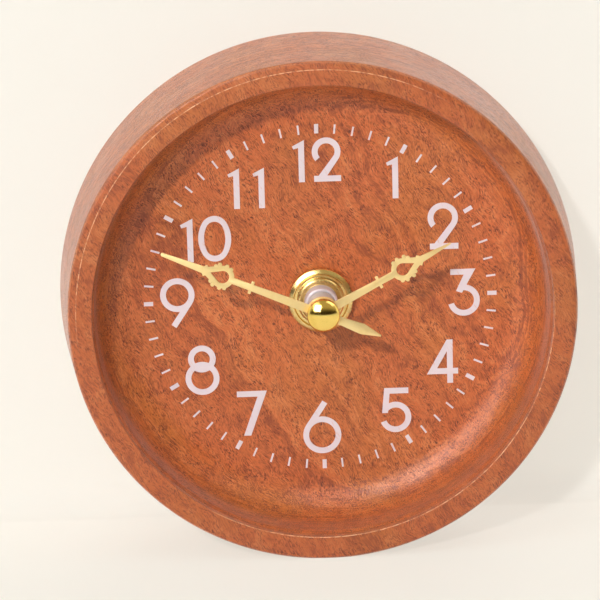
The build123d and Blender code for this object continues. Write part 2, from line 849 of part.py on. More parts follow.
def make_motion_wheel():
    """The wheel and pinion between cannon pinion and hour wheel, on the setting shaft."""
    far, at = cannon_d + motion_gear_t, motion_at
    wheel = gear(motion_wheel_teeth, motion_distance, cannon_teeth, cannon_d, far, at, (0, 0), True)
    teeth, mate_teeth = motion_pinion_teeth, hour_wheel_teeth
    wheel += gear(teeth, motion_distance, mate_teeth, hour_wheel_d, cannon_d, at, (0, 0), False)
    wheel += deep_disc(motion_pivot_r, hour_wheel_d - motion_pivot_l, hour_wheel_d, motion_at)
    wheel += deep_disc(motion_arbor_r + motion_hub_w, far, middle_plate_d - hub_end_gap, motion_at)
    return wheel + deep_disc(motion_arbor_r, far, knob_back_d - knob_t + shaft_in_knob, motion_at)


def make_hour_wheel():
    """The hour wheel with the tube that carries the hour hand."""
    far = hour_wheel_d + motion_gear_t
    teeth, mate_teeth = hour_wheel_teeth, motion_pinion_teeth
    wheel = gear(teeth, motion_distance, mate_teeth, hour_wheel_d, far, (0, 0), motion_at, True)
    tube_z = housing_front_z - far - hub_end_gap
    wheel += disc(hour_tube_r, tube_z, hour_hand_z)
    wheel += disc(hour_seat_r, hour_hand_z, hour_hand_z + hand_t + hub_overrun)
    return wheel - disc(arbor_r + run_gap, -housing_depth - cut_over, hour_hand_z + cut_over)


def train_wheel(teeth, distance, mate_teeth, wheel_d, at, mate_at):
    """A train wheel's toothed disc, with a tooth gap towards the pinion that it meshes with."""
    return gear(teeth, distance, mate_teeth, wheel_d, wheel_d + train_gear_t, at, mate_at, True)


def arbor_ends(wheel_d, pinion_d, at):
    """A train arbor from its pivot in the middle plate to its pivot in the rear cover."""
    shoulder_d = plate_back_d + hub_end_gap
    front = deep_disc(train_pivot_r, middle_plate_d + pivot_inset, shoulder_d, at)
    front += deep_disc(train_arbor_r, shoulder_d, pinion_d, at)
    return front + deep_disc(train_arbor_r, wheel_d + train_gear_t, boss_d + rear_pivot_l, at)


def make_third_wheel():
    teeth, mate_teeth = third_wheel_teeth, seconds_pinion_teeth
    wheel = train_wheel(teeth, third_distance, mate_teeth, third_wheel_d, third_at, (0, 0))
    pinion_d = centre_wheel_d - pinion_overhang
    teeth, mate_teeth = third_pinion_teeth, centre_wheel_teeth
    wheel += gear(teeth, third_distance, mate_teeth, pinion_d, third_wheel_d, third_at, (0, 0), False)
    return wheel + arbor_ends(third_wheel_d, pinion_d, third_at)


def make_seconds_wheel():
    """The seconds wheel, centred on the minute arbor by its front pivot."""
    teeth, mate_teeth = seconds_wheel_teeth, intermediate_pinion_teeth
    wheel = train_wheel(teeth, intermediate_distance, mate_teeth, seconds_wheel_d, (0, 0), intermediate_at)
    pinion_d = third_wheel_d - pinion_overhang
    teeth, mate_teeth = seconds_pinion_teeth, third_wheel_teeth
    wheel += gear(teeth, third_distance, mate_teeth, pinion_d, seconds_wheel_d, (0, 0), third_at, False)
    wheel += deep_disc(seconds_pivot_r, pinion_d - seconds_pivot_l, pinion_d)
    return wheel + deep_disc(train_arbor_r, seconds_wheel_d + train_gear_t, boss_d + rear_pivot_l)


def make_intermediate_wheel():
    wheel_d, at = intermediate_wheel_d, intermediate_at
    teeth, mate_teeth = intermediate_wheel_teeth, rotor_pinion_teeth
    wheel = train_wheel(teeth, rotor_distance, mate_teeth, wheel_d, at, rotor_at)
    pinion_d = seconds_wheel_d - pinion_overhang
    teeth, mate_teeth = intermediate_pinion_teeth, seconds_wheel_teeth
    wheel += gear(teeth, intermediate_distance, mate_teeth, pinion_d, wheel_d, at, (0, 0), False)
    return wheel + arbor_ends(wheel_d, pinion_d, at)


def make_rotor_pinion():
    """The rotor's arbor with the pinion that drives the train."""
    pinion_d = intermediate_wheel_d - pinion_overhang
    far = intermediate_wheel_d + train_gear_t + pinion_overhang
    teeth, mate_teeth = rotor_pinion_teeth, intermediate_wheel_teeth
    solid = gear(teeth, rotor_distance, mate_teeth, pinion_d, far, rotor_at, intermediate_at, False)
    shoulder_d = plate_back_d + hub_end_gap
    solid += deep_disc(train_pivot_r, middle_plate_d + pivot_inset, shoulder_d, rotor_at)
    solid += deep_disc(magnet_bore_r, shoulder_d, pinion_d, rotor_at)
    return solid + deep_disc(train_arbor_r, far, boss_d + rear_pivot_l, rotor_at)


def make_rotor_magnet():
    ring_solid = deep_disc(magnet_r, magnet_d, magnet_d + magnet_l, rotor_at)
    return ring_solid - deep_disc(magnet_bore_r, 0, housing_depth, rotor_at)


def make_set_knob():
    """The setting knob on the back, notched round its edge and pressed on the setting shaft."""
    front_d = knob_back_d - knob_t
    knob = deep_disc(knob_r, front_d, knob_back_d, motion_at)
    knob += deep_disc(knob_hub_r, front_d - knob_hub_l, front_d, motion_at)
    for k in range(knob_notches):
        notch_at = polar(knob_r, 360 * k / knob_notches, motion_at)
        knob -= deep_disc(knob_notch_r, front_d - cut_over, knob_back_d + cut_over, notch_at)
    return knob - deep_disc(motion_arbor_r, 0, front_d + shaft_in_knob, motion_at)


# Movement housing


def housing_outline(inset=0):
    """The housing's outline, or what is inside it by the inset."""
    grow = housing_wall - inset
    width = 2 * (inner_half_w + grow)
    height = inner_top_y - inner_low_y + 2 * grow
    middle_y = (inner_top_y + inner_low_y) / 2
    return Pos(0, middle_y) * RectangleRounded(width, height, housing_corner_r - inset)


def housing_room(low_y, high_y):
    """The outline inside the side walls, between two heights."""
    return housing_outline(housing_wall) & rectangle(-inner_half_w, inner_half_w, low_y, high_y)


def make_front_plate():
    """The housing's front, with the bushing seat and the setting shaft's front bearing."""
    plate = deep_plate(housing_outline(), 0, front_plate_t)
    plate -= deep_disc(bushing_r, -cut_over, cut_over)
    plate -= deep_disc(bushing_flange_r, front_plate_t - bushing_flange_t, cut_over)
    pivot_far = hour_wheel_d - motion_pivot_l
    return plate - deep_disc(motion_pivot_r + run_gap, pivot_far - hub_end_gap, cut_over, motion_at)


def make_middle_plate():
    """The plate between the motion work and the train, notched for the coil."""
    plate = housing_room(bay_wall_top_y, inner_top_y)
    notch_left = bobbin_middle_x - bobbin_l / 2 - coil_room
    notch_right = bobbin_middle_x + bobbin_l / 2 + coil_room
    notch_low = core_y - bobbin_flange_w / 2 - coil_room
    plate -= rectangle(notch_left, notch_right, notch_low, inner_top_y + cut_over)
    plate -= Circle(arbor_seat_r + run_gap)
    plate -= Pos(*motion_at) * Circle(motion_arbor_r + run_gap)
    for at in (third_at, intermediate_at, rotor_at):
        plate -= Pos(*at) * Circle(train_pivot_r + pivot_hole_clear)
    solid = deep_plate(plate, middle_plate_d, plate_back_d)
    for x in rivet_places:
        solid += deep_disc(stator_post_r, plate_back_d, stator_d, (x, core_y))
        solid -= deep_disc(rivet_r, stator_d - rivet_depth, stator_d + cut_over, (x, core_y))
    return solid


def make_rear_cover():
    """The housing's rear shell: side walls, battery bay, train bearings and knob pocket."""
    shell = deep_plate(housing_outline(), front_plate_t, housing_depth)
    near, far = front_plate_t - cut_over, housing_depth + cut_over
    shell -= deep_plate(housing_room(bay_wall_top_y, inner_top_y), near, rear_wall_d)
    shell -= deep_plate(housing_room(inner_low_y, bay_top_y), near, far)
    for at in ((0, 0), third_at, intermediate_at, rotor_at):
        shell += deep_disc(boss_r, boss_d, rear_wall_d, at)
        shell -= deep_disc(train_arbor_r + run_gap, boss_d - train_level_gap, boss_d + boss_hole_depth, at)
    shell += deep_disc(knob_pocket_r + knob_floor_t, knob_pocket_d - knob_floor_t, rear_wall_d, motion_at)
    shell -= deep_disc(knob_pocket_r, knob_pocket_d, far, motion_at)
    shell -= deep_disc(motion_arbor_r + run_gap, boss_d, housing_depth, motion_at)
    for side in (-1, 1):
        slot_in = side * (inner_half_w - contact_t - contact_room)
        slot_out = side * inner_half_w
        low_x, high_x = min(slot_in, slot_out), max(slot_in, slot_out)
        slot_low, slot_high = bay_top_y - contact_room, bay_wall_top_y + contact_room
        near, far = contact_front_d - contact_room, contact_front_d + contact_w + contact_room
        shell -= deep_block(low_x, high_x, slot_low, slot_high, near, far)
    return shell


# Motor and electrics


def make_stator():
    """The laminated stator: a ring round the rotor and two legs to the coil core."""
    plate = Pos(*rotor_at) * Circle(stator_outer_r)
    for x in rivet_places:
        plate += bar((x, core_y - core_w / 2), (x, rotor_at[1] - stator_leg_w / 2), stator_leg_w)
        plate += bar((x, rotor_at[1]), rotor_at, stator_leg_w)
        plate += Pos(x, core_y) * Circle(core_w / 2) + rectangle(
            x - core_w / 2, x + core_w / 2, core_y - core_w / 2, core_y
        )
        plate -= Pos(x, core_y) * Circle(rivet_r)
    plate -= Pos(*rotor_at) * Circle(stator_inner_r)
    return deep_plate(plate, stator_d, core_d)


def make_coil_core():
    core = rectangle(core_left_x, core_right_x, core_y - core_w / 2, core_y + core_w / 2)
    for x in rivet_places:
        core -= Pos(x, core_y) * Circle(rivet_r)
    return deep_plate(core, core_d, core_d + core_t)


def coil_block(low_x, high_x, half_w, half_t):
    """A block along the coil core, centred on it."""
    mid_d = core_d + core_t / 2
    return deep_block(low_x, high_x, core_y - half_w, core_y + half_w, mid_d - half_t, mid_d + half_t)


def make_coil_bobbin():
    """The bobbin: a square tube round the core between two square flanges."""
    left = bobbin_middle_x - bobbin_l / 2
    right = bobbin_middle_x + bobbin_l / 2
    half = bobbin_flange_w / 2
    bore_w, bore_t = core_w / 2 + bobbin_fit, core_t / 2 + bobbin_fit
    tube_w, tube_t = bore_w + bobbin_tube_t, bore_t + bobbin_tube_t
    bobbin = coil_block(left, right, tube_w, tube_t)
    for low_x in (left, right - bobbin_flange_t):
        bobbin += coil_block(low_x, low_x + bobbin_flange_t, half, half)
    return bobbin - coil_block(left - cut_over, right + cut_over, bore_w, bore_t)


def make_coil_winding():
    """The winding, a drum round the bobbin's tube."""
    low_x = bobbin_middle_x - bobbin_l / 2 + bobbin_flange_t
    length = bobbin_l - 2 * bobbin_flange_t
    mid_d = core_d + core_t / 2
    tube_w = core_w / 2 + bobbin_fit + bobbin_tube_t
    tube_t = core_t / 2 + bobbin_fit + bobbin_tube_t
    drum = Pos(low_x + length / 2, core_y, housing_front_z - mid_d) * Rot(Y=90) * Cylinder(winding_r, length)
    return drum - coil_block(low_x - cut_over, low_x + length + cut_over, tube_w, tube_t)


def make_core_rivets():
    """The two rivets through coil core and stator into the middle plate's posts."""
    rivets = []
    back_d = core_d + core_t
    for x in rivet_places:
        shank = deep_disc(rivet_r, stator_d - rivet_depth, back_d, (x, core_y))
        rivets.append(shank + deep_disc(rivet_head_r, back_d, back_d + rivet_head_t, (x, core_y)))
    return Compound(children=[s for rivet in rivets for s in rivet.solids()])


def make_circuit_board():
    board = rectangle(board_left_x, board_right_x, board_step_y, board_top_y)
    board += rectangle(board_strip_x, board_right_x, board_bottom_y, board_step_y)
    return deep_plate(board, plate_back_d, board_back_d)


def make_chip():
    """The sealed chip, a low dome on the board."""
    chip_x, chip_y = board_left_x + chip_from_left, board_top_y - chip_from_top
    dome_r = (chip_r**2 + chip_h**2) / (2 * chip_h)
    board_z = housing_front_z - board_back_d
    dome = Pos(chip_x, chip_y, board_z + dome_r - chip_h) * Sphere(dome_r)
    return dome & disc(chip_r, board_z - chip_h, board_z, (chip_x, chip_y))


def make_quartz_crystal():
    """The crystal's can, lying along the board."""
    crystal_x, crystal_y = board_right_x - crystal_from_right, board_top_y - crystal_from_top
    mid_z = housing_front_z - board_back_d - crystal_r
    return Pos(crystal_x, crystal_y, mid_z) * Rot(X=90) * Cylinder(crystal_r, crystal_l)


def make_battery_cell():
    """The AA cell, lying along x with its nub to the right."""
    half_l = cell_l / 2
    body = turned(
        [
            (0, -half_l, 0),
            (cell_r, -half_l, cell_rim_round),
            (cell_r, half_l, cell_rim_round),
            (cell_nub_r, half_l, 0),
            (cell_nub_r, half_l + cell_nub_l, cell_rim_round),
            (0, half_l + cell_nub_l, 0),
        ]
    )
    middle_x = (cell_left_x + cell_right_x) / 2
    return Pos(middle_x, cell_y, housing_front_z - cell_d) * Rot(Y=90) * body


def make_positive_contact():
    """The strip from the cell's nub up the side wall to a foot on the board."""
    far = contact_front_d + contact_w
    top_y = board_bottom_y + contact_foot_l
    strip = deep_block(nub_tip_x, inner_half_w, cell_y - cell_nub_r, top_y, contact_front_d, far)
    strip += deep_block(nub_tip_x, inner_half_w, top_y - lead_w, top_y, board_back_d, contact_front_d)
    foot_x, foot_d = board_right_x - contact_foot_l, board_back_d + contact_t
    return strip + deep_block(foot_x, inner_half_w, top_y - lead_w, top_y, board_back_d, foot_d)


def make_negative_contact():
    """The bowed leaf against the cell's flat end, and the lead along the bay wall to the board."""
    wall_x = -inner_half_w
    far = contact_front_d + contact_w
    strip_top = bay_wall_top_y + contact_t
    strip = deep_block(wall_x, wall_x + contact_t, cell_y - leaf_half_h, strip_top, contact_front_d, far)
    tip_x = cell_left_x - leaf_gap
    root_x = wall_x + contact_t
    leaf = Polyline(
        (root_x, cell_y - leaf_half_h),
        (tip_x, cell_y),
        (root_x, cell_y + leaf_half_h),
        (root_x, cell_y + leaf_half_h - leaf_root_t),
        (tip_x - leaf_t, cell_y),
        (root_x, cell_y - leaf_half_h + leaf_root_t),
        close=True,
    )
    strip += deep_plate(make_face(leaf), contact_front_d, far)
    end_x = board_strip_x + contact_foot_l
    lead_far = contact_front_d + lead_w
    strip += deep_block(wall_x, end_x, bay_wall_top_y, strip_top, contact_front_d, lead_far)
    strip += deep_block(end_x - lead_w, end_x, bay_wall_top_y, strip_top, board_back_d, contact_front_d)
    solder_y, solder_d = board_bottom_y + lead_w, board_back_d + contact_t
    return strip + deep_block(end_x - lead_w, end_x, bay_wall_top_y, solder_y, board_back_d, solder_d)


nodes = {
    "case": make_case,
    "hour_numerals": make_hour_numerals,
    "hour_marks": lambda: make_marks(True),
    "minute_marks": lambda: make_marks(False),
    "dial_washer": make_dial_washer,
    "fixing_nut": make_fixing_nut,
    "threaded_bushing": make_threaded_bushing,
    "rubber_washer": make_rubber_washer,
    "hour_hand": make_hour_hand,
    "minute_hand": make_minute_hand,
    "hand_cap": make_hand_cap,
    "minute_arbor": make_minute_arbor,
    "centre_wheel": make_centre_wheel,
    "motion_wheel": make_motion_wheel,
    "hour_wheel": make_hour_wheel,
    "third_wheel": make_third_wheel,
    "seconds_wheel": make_seconds_wheel,
    "intermediate_wheel": make_intermediate_wheel,
    "rotor_pinion": make_rotor_pinion,
    "rotor_magnet": make_rotor_magnet,
    "set_knob": make_set_knob,
    "front_plate": make_front_plate,
    "middle_plate": make_middle_plate,
    "rear_cover": make_rear_cover,
    "stator": make_stator,
    "coil_core": make_coil_core,
    "coil_bobbin": make_coil_bobbin,
    "coil_winding": make_coil_winding,
    "core_rivets": make_core_rivets,
    "circuit_board": make_circuit_board,
    "chip": make_chip,
    "quartz_crystal": make_quartz_crystal,
    "battery_cell": make_battery_cell,
    "positive_contact": make_positive_contact,
    "negative_contact": make_negative_contact,
}

os.makedirs("parts", exist_ok=True)
for name, make in nodes.items():
    placed = Pos(0, 0, axis_height) * Rot(X=90) * make()
    export_step(placed, f"parts/{name}.step")
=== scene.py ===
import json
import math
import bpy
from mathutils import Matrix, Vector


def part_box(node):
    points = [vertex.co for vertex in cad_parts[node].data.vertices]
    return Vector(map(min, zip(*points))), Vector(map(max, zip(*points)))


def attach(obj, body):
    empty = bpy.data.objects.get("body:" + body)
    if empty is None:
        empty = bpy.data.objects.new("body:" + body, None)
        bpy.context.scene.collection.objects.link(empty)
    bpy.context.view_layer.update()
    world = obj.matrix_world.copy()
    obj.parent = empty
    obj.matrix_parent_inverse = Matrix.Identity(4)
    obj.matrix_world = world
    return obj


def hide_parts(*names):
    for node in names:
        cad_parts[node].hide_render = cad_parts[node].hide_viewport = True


bl_info = {
    "name": "Turned wooden desk clock",
    "version": (1, 0, 0),
    "blender": (4, 5, 0),
    "location": "3D View > Sidebar > Desk Clock",
    "description": "Models and finishes a small desk clock turned from one piece of wood",
    "category": "Add Mesh",
}

import bmesh
import bpy
from bpy.props import FloatProperty, FloatVectorProperty, IntProperty, PointerProperty
from mathutils import Matrix, Vector

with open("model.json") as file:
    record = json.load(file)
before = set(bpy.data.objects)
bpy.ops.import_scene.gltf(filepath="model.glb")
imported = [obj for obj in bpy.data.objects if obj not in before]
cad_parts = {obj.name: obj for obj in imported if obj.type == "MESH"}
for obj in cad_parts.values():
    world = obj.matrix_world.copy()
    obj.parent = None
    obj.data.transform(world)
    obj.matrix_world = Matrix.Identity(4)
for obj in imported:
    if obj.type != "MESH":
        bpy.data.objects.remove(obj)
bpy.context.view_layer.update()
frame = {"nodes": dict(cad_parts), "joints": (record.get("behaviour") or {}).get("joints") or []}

MM = 0.001
axis = Vector(frame["joints"][0]["pos_m"])  # middle of the dial's surface
cell_low, cell_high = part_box("battery_cell")
cell_middle = (cell_low + cell_high) / 2
knob_low, knob_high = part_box("set_knob")
knob_middle = (knob_low + knob_high) / 2
rear_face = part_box("rear_cover")[1].y

SAME_PLACE = 1e-7  # metres; points nearer than this are one
SIGN_HEIGHT = 0.8 * MM  # signs on the rear face, which they stand in by half
RIM_BEVEL = 1.7  # millimetres; the rim's flat ends this far inside its outer edge
RIM_EDGE = 0.12  # millimetres; rounding of the flat's two edges


def linear(red, green, blue):
    """A colour of 0 to 255 as the linear light that shaders take."""
    shares = [c / 255 for c in (red, green, blue)]
    return tuple(c / 12.92 if c <= 0.04045 else ((c + 0.055) / 1.055) ** 2.4 for c in shares)


# Sizes and colours a user would change


def length(name, description, millimetres):
    """The setting of a length."""
    return FloatProperty(
        name=name, description=description, default=millimetres * MM, min=0, subtype="DISTANCE", unit="LENGTH"
    )


def colour(name, description, red, green, blue):
    """The setting of a colour, from values of 0 to 255."""
    default = linear(red, green, blue)
    return FloatVectorProperty(
        name=name, description=description, default=default, min=0, max=1, size=3, subtype="COLOR"
    )


def brightness(name, description, default):
    """The setting of a light's power or strength."""
    return FloatProperty(name=name, description=description, default=default, min=0)


class DeskClockCase(bpy.types.PropertyGroup):
    """Sizes and wood of the turned case."""

    bowl_depth: length("Bowl depth", "From the dial's surface to the rim", 15.6)
    rim_radius: length("Rim radius", "Outside of the rim", 52.2)
    rim_width: length("Rim width", "Flat between the rim's two edges", 4.9)
    cove_radius: length("Cove radius", "Hollow between dial and bowl wall", 8.0)
    widest_radius: length("Widest radius", "The belly behind the dial", 55.0)
    back_radius: length("Back radius", "Outside of the back face", 49.5)
    recess_radius: length("Recess radius", "Recess for the movement", 42.0)
    facets: IntProperty(name="Facets", description="Facets round the case", default=256, min=32)
    wood: colour("Wood", "Ground colour of the oiled wood", 214, 112, 54)
    wood_gold: colour("Golden wood", "Golden patches between", 206, 124, 54)
    wood_dark: colour("Dark wood", "Dark growth layers", 150, 68, 32)
    wood_pale: colour("Pale wood", "Pale growth layers", 230, 142, 82)
    # Painted highlight: a pale colour painted on the rim's edges where the lamps glint
    painted_edge_highlight: colour("Painted edge highlights", "Highlights painted along the rim's edges", 252, 204, 158)
    pore: colour("Pores", "Open pores along the fibre", 92, 36, 18)
    fibre_tilt: FloatProperty(
        name="Fibre direction",
        description="Turn of the fibre on the dial, from upright",
        default=math.radians(-30),
        subtype="ANGLE",
        unit="ROTATION",
    )


class DeskClockMetal(bpy.types.PropertyGroup):
    """Colours of the metal and print."""

    brass: colour("Polished brass", "Domed cap nut", 252, 218, 122)
    nut_brass: colour("Turned brass", "Fixing nut", 240, 212, 144)
    hands: colour("Hands", "Satin brass of the hands", 255, 228, 166)
    nickel: colour("Nickel", "Plated bushing", 232, 224, 230)
    steel: colour("Steel", "Washer and contacts", 176, 174, 170)
    magnet: colour("Magnet", "Rotor magnet", 92, 90, 92)
    print_ink: colour("Print", "Numerals and marks", 243, 231, 237)


class DeskClockStage(bpy.types.PropertyGroup):
    """Floor, backdrop, lamps and camera."""

    backdrop: colour("Backdrop", "Floor and backdrop", 253, 248, 236)
    key_power: brightness("Key lamp", "Power of the main lamp at the upper left", 5.5)
    front_power: brightness("Front softbox", "Power of the frontal fill", 0.3)
    left_power: brightness("Left softbox", "Power of the left softbox", 0.9)
    sheen_power: brightness("Sheen lamp", "Power of the lamp only seen in gloss", 7.0)
    top_power: brightness("Top softbox", "Power of the overhead softbox", 1.0)
    right_power: brightness("Right softbox", "Power of the right softbox", 0.6)
    rear_power: brightness("Rear softbox", "Power of the softbox behind", 5.5)
    room_light: brightness("Room light", "Strength of the room's even light", 0.06)
    focal_length: FloatProperty(
        name="Focal length", description="Lens on a 36 mm wide sensor, in millimetres", default=171.845, min=1
    )


class DeskClockSettings(bpy.types.PropertyGroup):
    """All settings of the desk clock."""

    case: PointerProperty(type=DeskClockCase)
    metal: PointerProperty(type=DeskClockMetal)
    stage: PointerProperty(type=DeskClockStage)


def rim_sizes(case):
    """The rim's height in front of the dial, its outer and its inner radius, in millimetres."""
    outer = case.rim_radius / MM
    return case.bowl_depth / MM, outer, outer - case.rim_width / MM


# Modelling by hand


def alone(piece):
    """Selects one object and makes it active."""
    bpy.ops.object.select_all(action="DESELECT")
    piece.select_set(True)
    bpy.context.view_layer.objects.active = piece


def begin(name, primitive, sides=(1, 1, 1), **place):
    """Adds a primitive, with its place and the lengths of its sides kept in its mesh."""
    bpy.ops.object.select_all(action="DESELECT")
    primitive(**place)
    piece = bpy.context.object
    piece.scale = sides
    piece.name = piece.data.name = name
    bpy.ops.object.transform_apply(location=True, rotation=True, scale=True)
    return piece


def edit_all(piece):
    """Enters edit mode on one object, with all of it selected."""
    alone(piece)
    bpy.ops.object.mode_set(mode="EDIT")
    bpy.ops.mesh.select_all(action="SELECT")


def pick(kind, test):
    """Selects the vertices, edges or faces of the piece in edit mode that pass a test."""
    bpy.ops.mesh.select_mode(type=kind)
    bpy.ops.mesh.select_all(action="DESELECT")
    mesh = bmesh.from_edit_mesh(bpy.context.object.data)
    for part in {"VERT": mesh.verts, "EDGE": mesh.edges, "FACE": mesh.faces}[kind]:
        if test(part):
            part.select_set(True)
    mesh.select_flush_mode()
    bmesh.update_edit_mesh(bpy.context.object.data)


def place(radius, height):
    """A point at a radius to the right of the axis and a height in front of the dial, both in mm."""
    return axis + Vector((radius, -height, 0)) * MM


def cell_place(radius, height):
    """A point at a radius above the cell's middle line and a height towards its nub, both in mm."""
    return cell_middle + Vector((height, 0, radius)) * MM


def rounding_reach(before, corner, after, radius):
    """How far a rounding of this radius reaches along the two sides of its corner."""
    half = (before - corner).angle(after - corner) / 2
    return radius * MM / math.tan(half)


def turned(name, corners, steps=96, closed=True, segments=6, at=place):
    """Turns a profile of (radius, height, rounding) corners about the clock's axis, or the cell's."""
    points = [at(radius, height) for radius, height, _ in corners]
    piece = begin(name, bpy.ops.mesh.primitive_plane_add, size=MM, location=points[0])
    edit_all(piece)
    bpy.ops.mesh.merge(type="CENTER")
    for start, end in zip(points, points[1:]):
        bpy.ops.mesh.extrude_region_move(TRANSFORM_OT_translate={"value": end - start})
    if closed:
        pick("VERT", lambda v: min((v.co - points[k]).length for k in (0, -1)) < SAME_PLACE)
        bpy.ops.mesh.edge_face_add()
    for k, (_, _, radius) in enumerate(corners):
        if radius:
            reach = rounding_reach(points[k - 1], points[k], points[(k + 1) % len(points)], radius)
            pick("VERT", lambda v: (v.co - points[k]).length < SAME_PLACE)
            bpy.ops.mesh.bevel(
                offset_type="OFFSET", offset=reach, segments=segments, affect="VERTICES", clamp_overlap=False
            )
    bpy.ops.mesh.select_all(action="SELECT")
    centre = at(0, 0)
    bpy.ops.mesh.spin(steps=steps, angle=math.tau, center=centre, axis=(at(0, 1) - centre).normalized())
    bpy.ops.mesh.select_all(action="SELECT")
    bpy.ops.mesh.remove_doubles(threshold=SAME_PLACE)
    bpy.ops.mesh.normals_make_consistent(inside=False)
    return piece


def merged_copy(node, name):
    """A merged copy of a CAD node's mesh, as a piece of its own."""
    piece = bpy.data.objects.new(name, frame["nodes"][node].data.copy())
    bpy.context.scene.collection.objects.link(piece)
    alone(piece)
    bpy.ops.mesh.customdata_custom_splitnormals_clear()
    edit_all(piece)
    bpy.ops.mesh.remove_doubles(threshold=SAME_PLACE)
    bpy.ops.mesh.dissolve_limited(angle_limit=math.radians(0.5))
    bpy.ops.object.mode_set(mode="OBJECT")
    return piece


def soften(piece, width, segments=2, angle=40):
    """Breaks a piece's sharp edges with a small bevel."""
    bevel = piece.modifiers.new("Broken edges", "BEVEL")
    bevel.width = width * MM
    bevel.segments = segments
    bevel.limit_method = "ANGLE"
    bevel.angle_limit = math.radians(angle)
    bevel.harden_normals = False
    alone(piece)
    bpy.ops.object.modifier_apply(modifier=bevel.name)


def finish_piece(piece, body, finish, node, smooth=32):
    """Ends a piece: shading, finish, the body it rides on and the node it stands for."""
    if bpy.context.object.mode == "EDIT":
        bpy.ops.object.mode_set(mode="OBJECT")
    alone(piece)
    bpy.ops.object.shade_smooth_by_angle(angle=math.radians(smooth))
    piece.data.materials.clear()
    piece.data.materials.append(finish_of(finish))
    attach(piece, body)
    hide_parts(node)


def raised_bar(x, z, length_mm, width_mm, turn=0.0):
    """A small moulded bar on the movement's rear face, at a place in metres."""
    bar = begin(
        "bar",
        bpy.ops.mesh.primitive_cube_add,
        (length_mm * MM, SIGN_HEIGHT, width_mm * MM),
        size=1,
        location=(x, rear_face, z),
        rotation=(0, turn, 0),
    )
    edit_all(bar)
    bpy.ops.mesh.bevel(offset=0.1 * MM, segments=2)
    bpy.ops.object.mode_set(mode="OBJECT")
    return bar


def dress(finish, *nodes):
    """Gives CAD nodes a finished material."""
    for name in nodes:
        for slot in frame["nodes"][name].material_slots:
            slot.link = "OBJECT"
            slot.material = finish_of(finish)


# Shader nodes


def put(tree, kind, inputs=None, **settings):
    """Adds a ShaderNode of a kind and returns its outputs; inputs given a socket are linked, others set."""
    node = tree.nodes.new("ShaderNode" + kind)
    for key, value in settings.items():
        setattr(node, key, value)
    for key, value in (inputs or {}).items():
        if isinstance(value, bpy.types.NodeSocket):
            tree.links.new(value, node.inputs[key])
        else:
            node.inputs[key].default_value = value
    return node.outputs


def maths(tree, operation, *values):
    """One step of arithmetic."""
    return put(tree, "Math", dict(enumerate(values)), operation=operation)[0]


def total(tree, first, *others):
    """Adds values, from the first to the last."""
    for value in others:
        first = maths(tree, "ADD", first, value)
    return first


def product(tree, first, *others):
    """Multiplies values, from the first to the last."""
    for value in others:
        first = maths(tree, "MULTIPLY", first, value)
    return first


def weighted(tree, *groups):
    """Adds values, each multiplied by the masks and the weight beside it."""
    return total(tree, *(product(tree, *group) for group in groups))


def centred(tree, value):
    """A value of 0 to 1 as one of -0.5 to 0.5."""
    return maths(tree, "SUBTRACT", value, 0.5)


def split(tree, vector):
    """The x, y and z of a vector."""
    return put(tree, "SeparateXYZ", {0: vector})


def distance(tree, one, other):
    """Distance from an axis, from the two coordinates across it."""
    return maths(tree, "SQRT", weighted(tree, (one, one), (other, other)))


def noise(tree, vector, scale, detail=2.0, roughness=0.5):
    """Soft noise of 0 to 1."""
    inputs = {"Vector": vector, "Scale": scale, "Detail": detail, "Roughness": roughness}
    return put(tree, "TexNoise", inputs)[0]


def grain(tree, vector, cell, detail=2.0, roughness=0.5):
    """Noise with cells that have a length of their own along each axis, in millimetres."""
    inputs = {0: vector, 1: tuple(1 / side for side in cell)}
    place_in_cells = put(tree, "VectorMath", inputs, operation="MULTIPLY")[0]
    return noise(tree, place_in_cells, 1.0, detail, roughness)


def line_noise(tree, value, scale, detail=2.0, roughness=0.5):
    """Noise of 0 to 1 along one value."""
    inputs = {"W": value, "Scale": scale, "Detail": detail, "Roughness": roughness}
    return put(tree, "TexNoise", inputs, noise_dimensions="1D")[0]


def between(tree, value, low, high, to_low=0.0, to_high=1.0):
    """Maps a value from low and high to a new range, smoothly and clamped."""
    inputs = {0: value, 1: low, 2: high, 3: to_low, 4: to_high}
    return put(tree, "MapRange", inputs, interpolation_type="SMOOTHSTEP")[0]


def near(tree, value, middle, reach):
    """A soft line where a value comes near one place."""
    off = maths(tree, "ABSOLUTE", maths(tree, "SUBTRACT", value, middle))
    return between(tree, off, reach, 0.3 * reach)


def blend(tree, share, first, second):
    """Mixes two colours."""
    first, second = [c if isinstance(c, bpy.types.NodeSocket) else (*c, 1) for c in (first, second)]
    return put(tree, "Mix", {0: share, 6: first, 7: second}, data_type="RGBA")[2]


def bump(tree, height, depth, strength=1.0, normal=None):
    """Relief of a height of 0 to 1 over a depth in millimetres."""
    inputs = {"Height": height, "Distance": depth * MM, "Strength": strength}
    if normal is not None:
        inputs["Normal"] = normal
    return put(tree, "Bump", inputs)[0]


def object_place(tree):
    """Object coordinates in millimetres from the middle of the dial."""
    coordinates = put(tree, "TexCoord")["Object"]
    inputs = {"Vector": coordinates, "Location": -axis / MM, "Scale": (1 / MM,) * 3}
    return put(tree, "Mapping", inputs)[0]


def effect(name, inputs, outputs):
    """A node group with named inputs and outputs."""
    group = bpy.data.node_groups.new(name, "ShaderNodeTree")
    for label, default in inputs:
        socket = group.interface.new_socket(label, in_out="INPUT", socket_type="NodeSocketFloat")
        socket.default_value = default
    for label in outputs:
        group.interface.new_socket(label, in_out="OUTPUT", socket_type="NodeSocketFloat")
    return group, group.nodes.new("NodeGroupInput").outputs, group.nodes.new("NodeGroupOutput").inputs


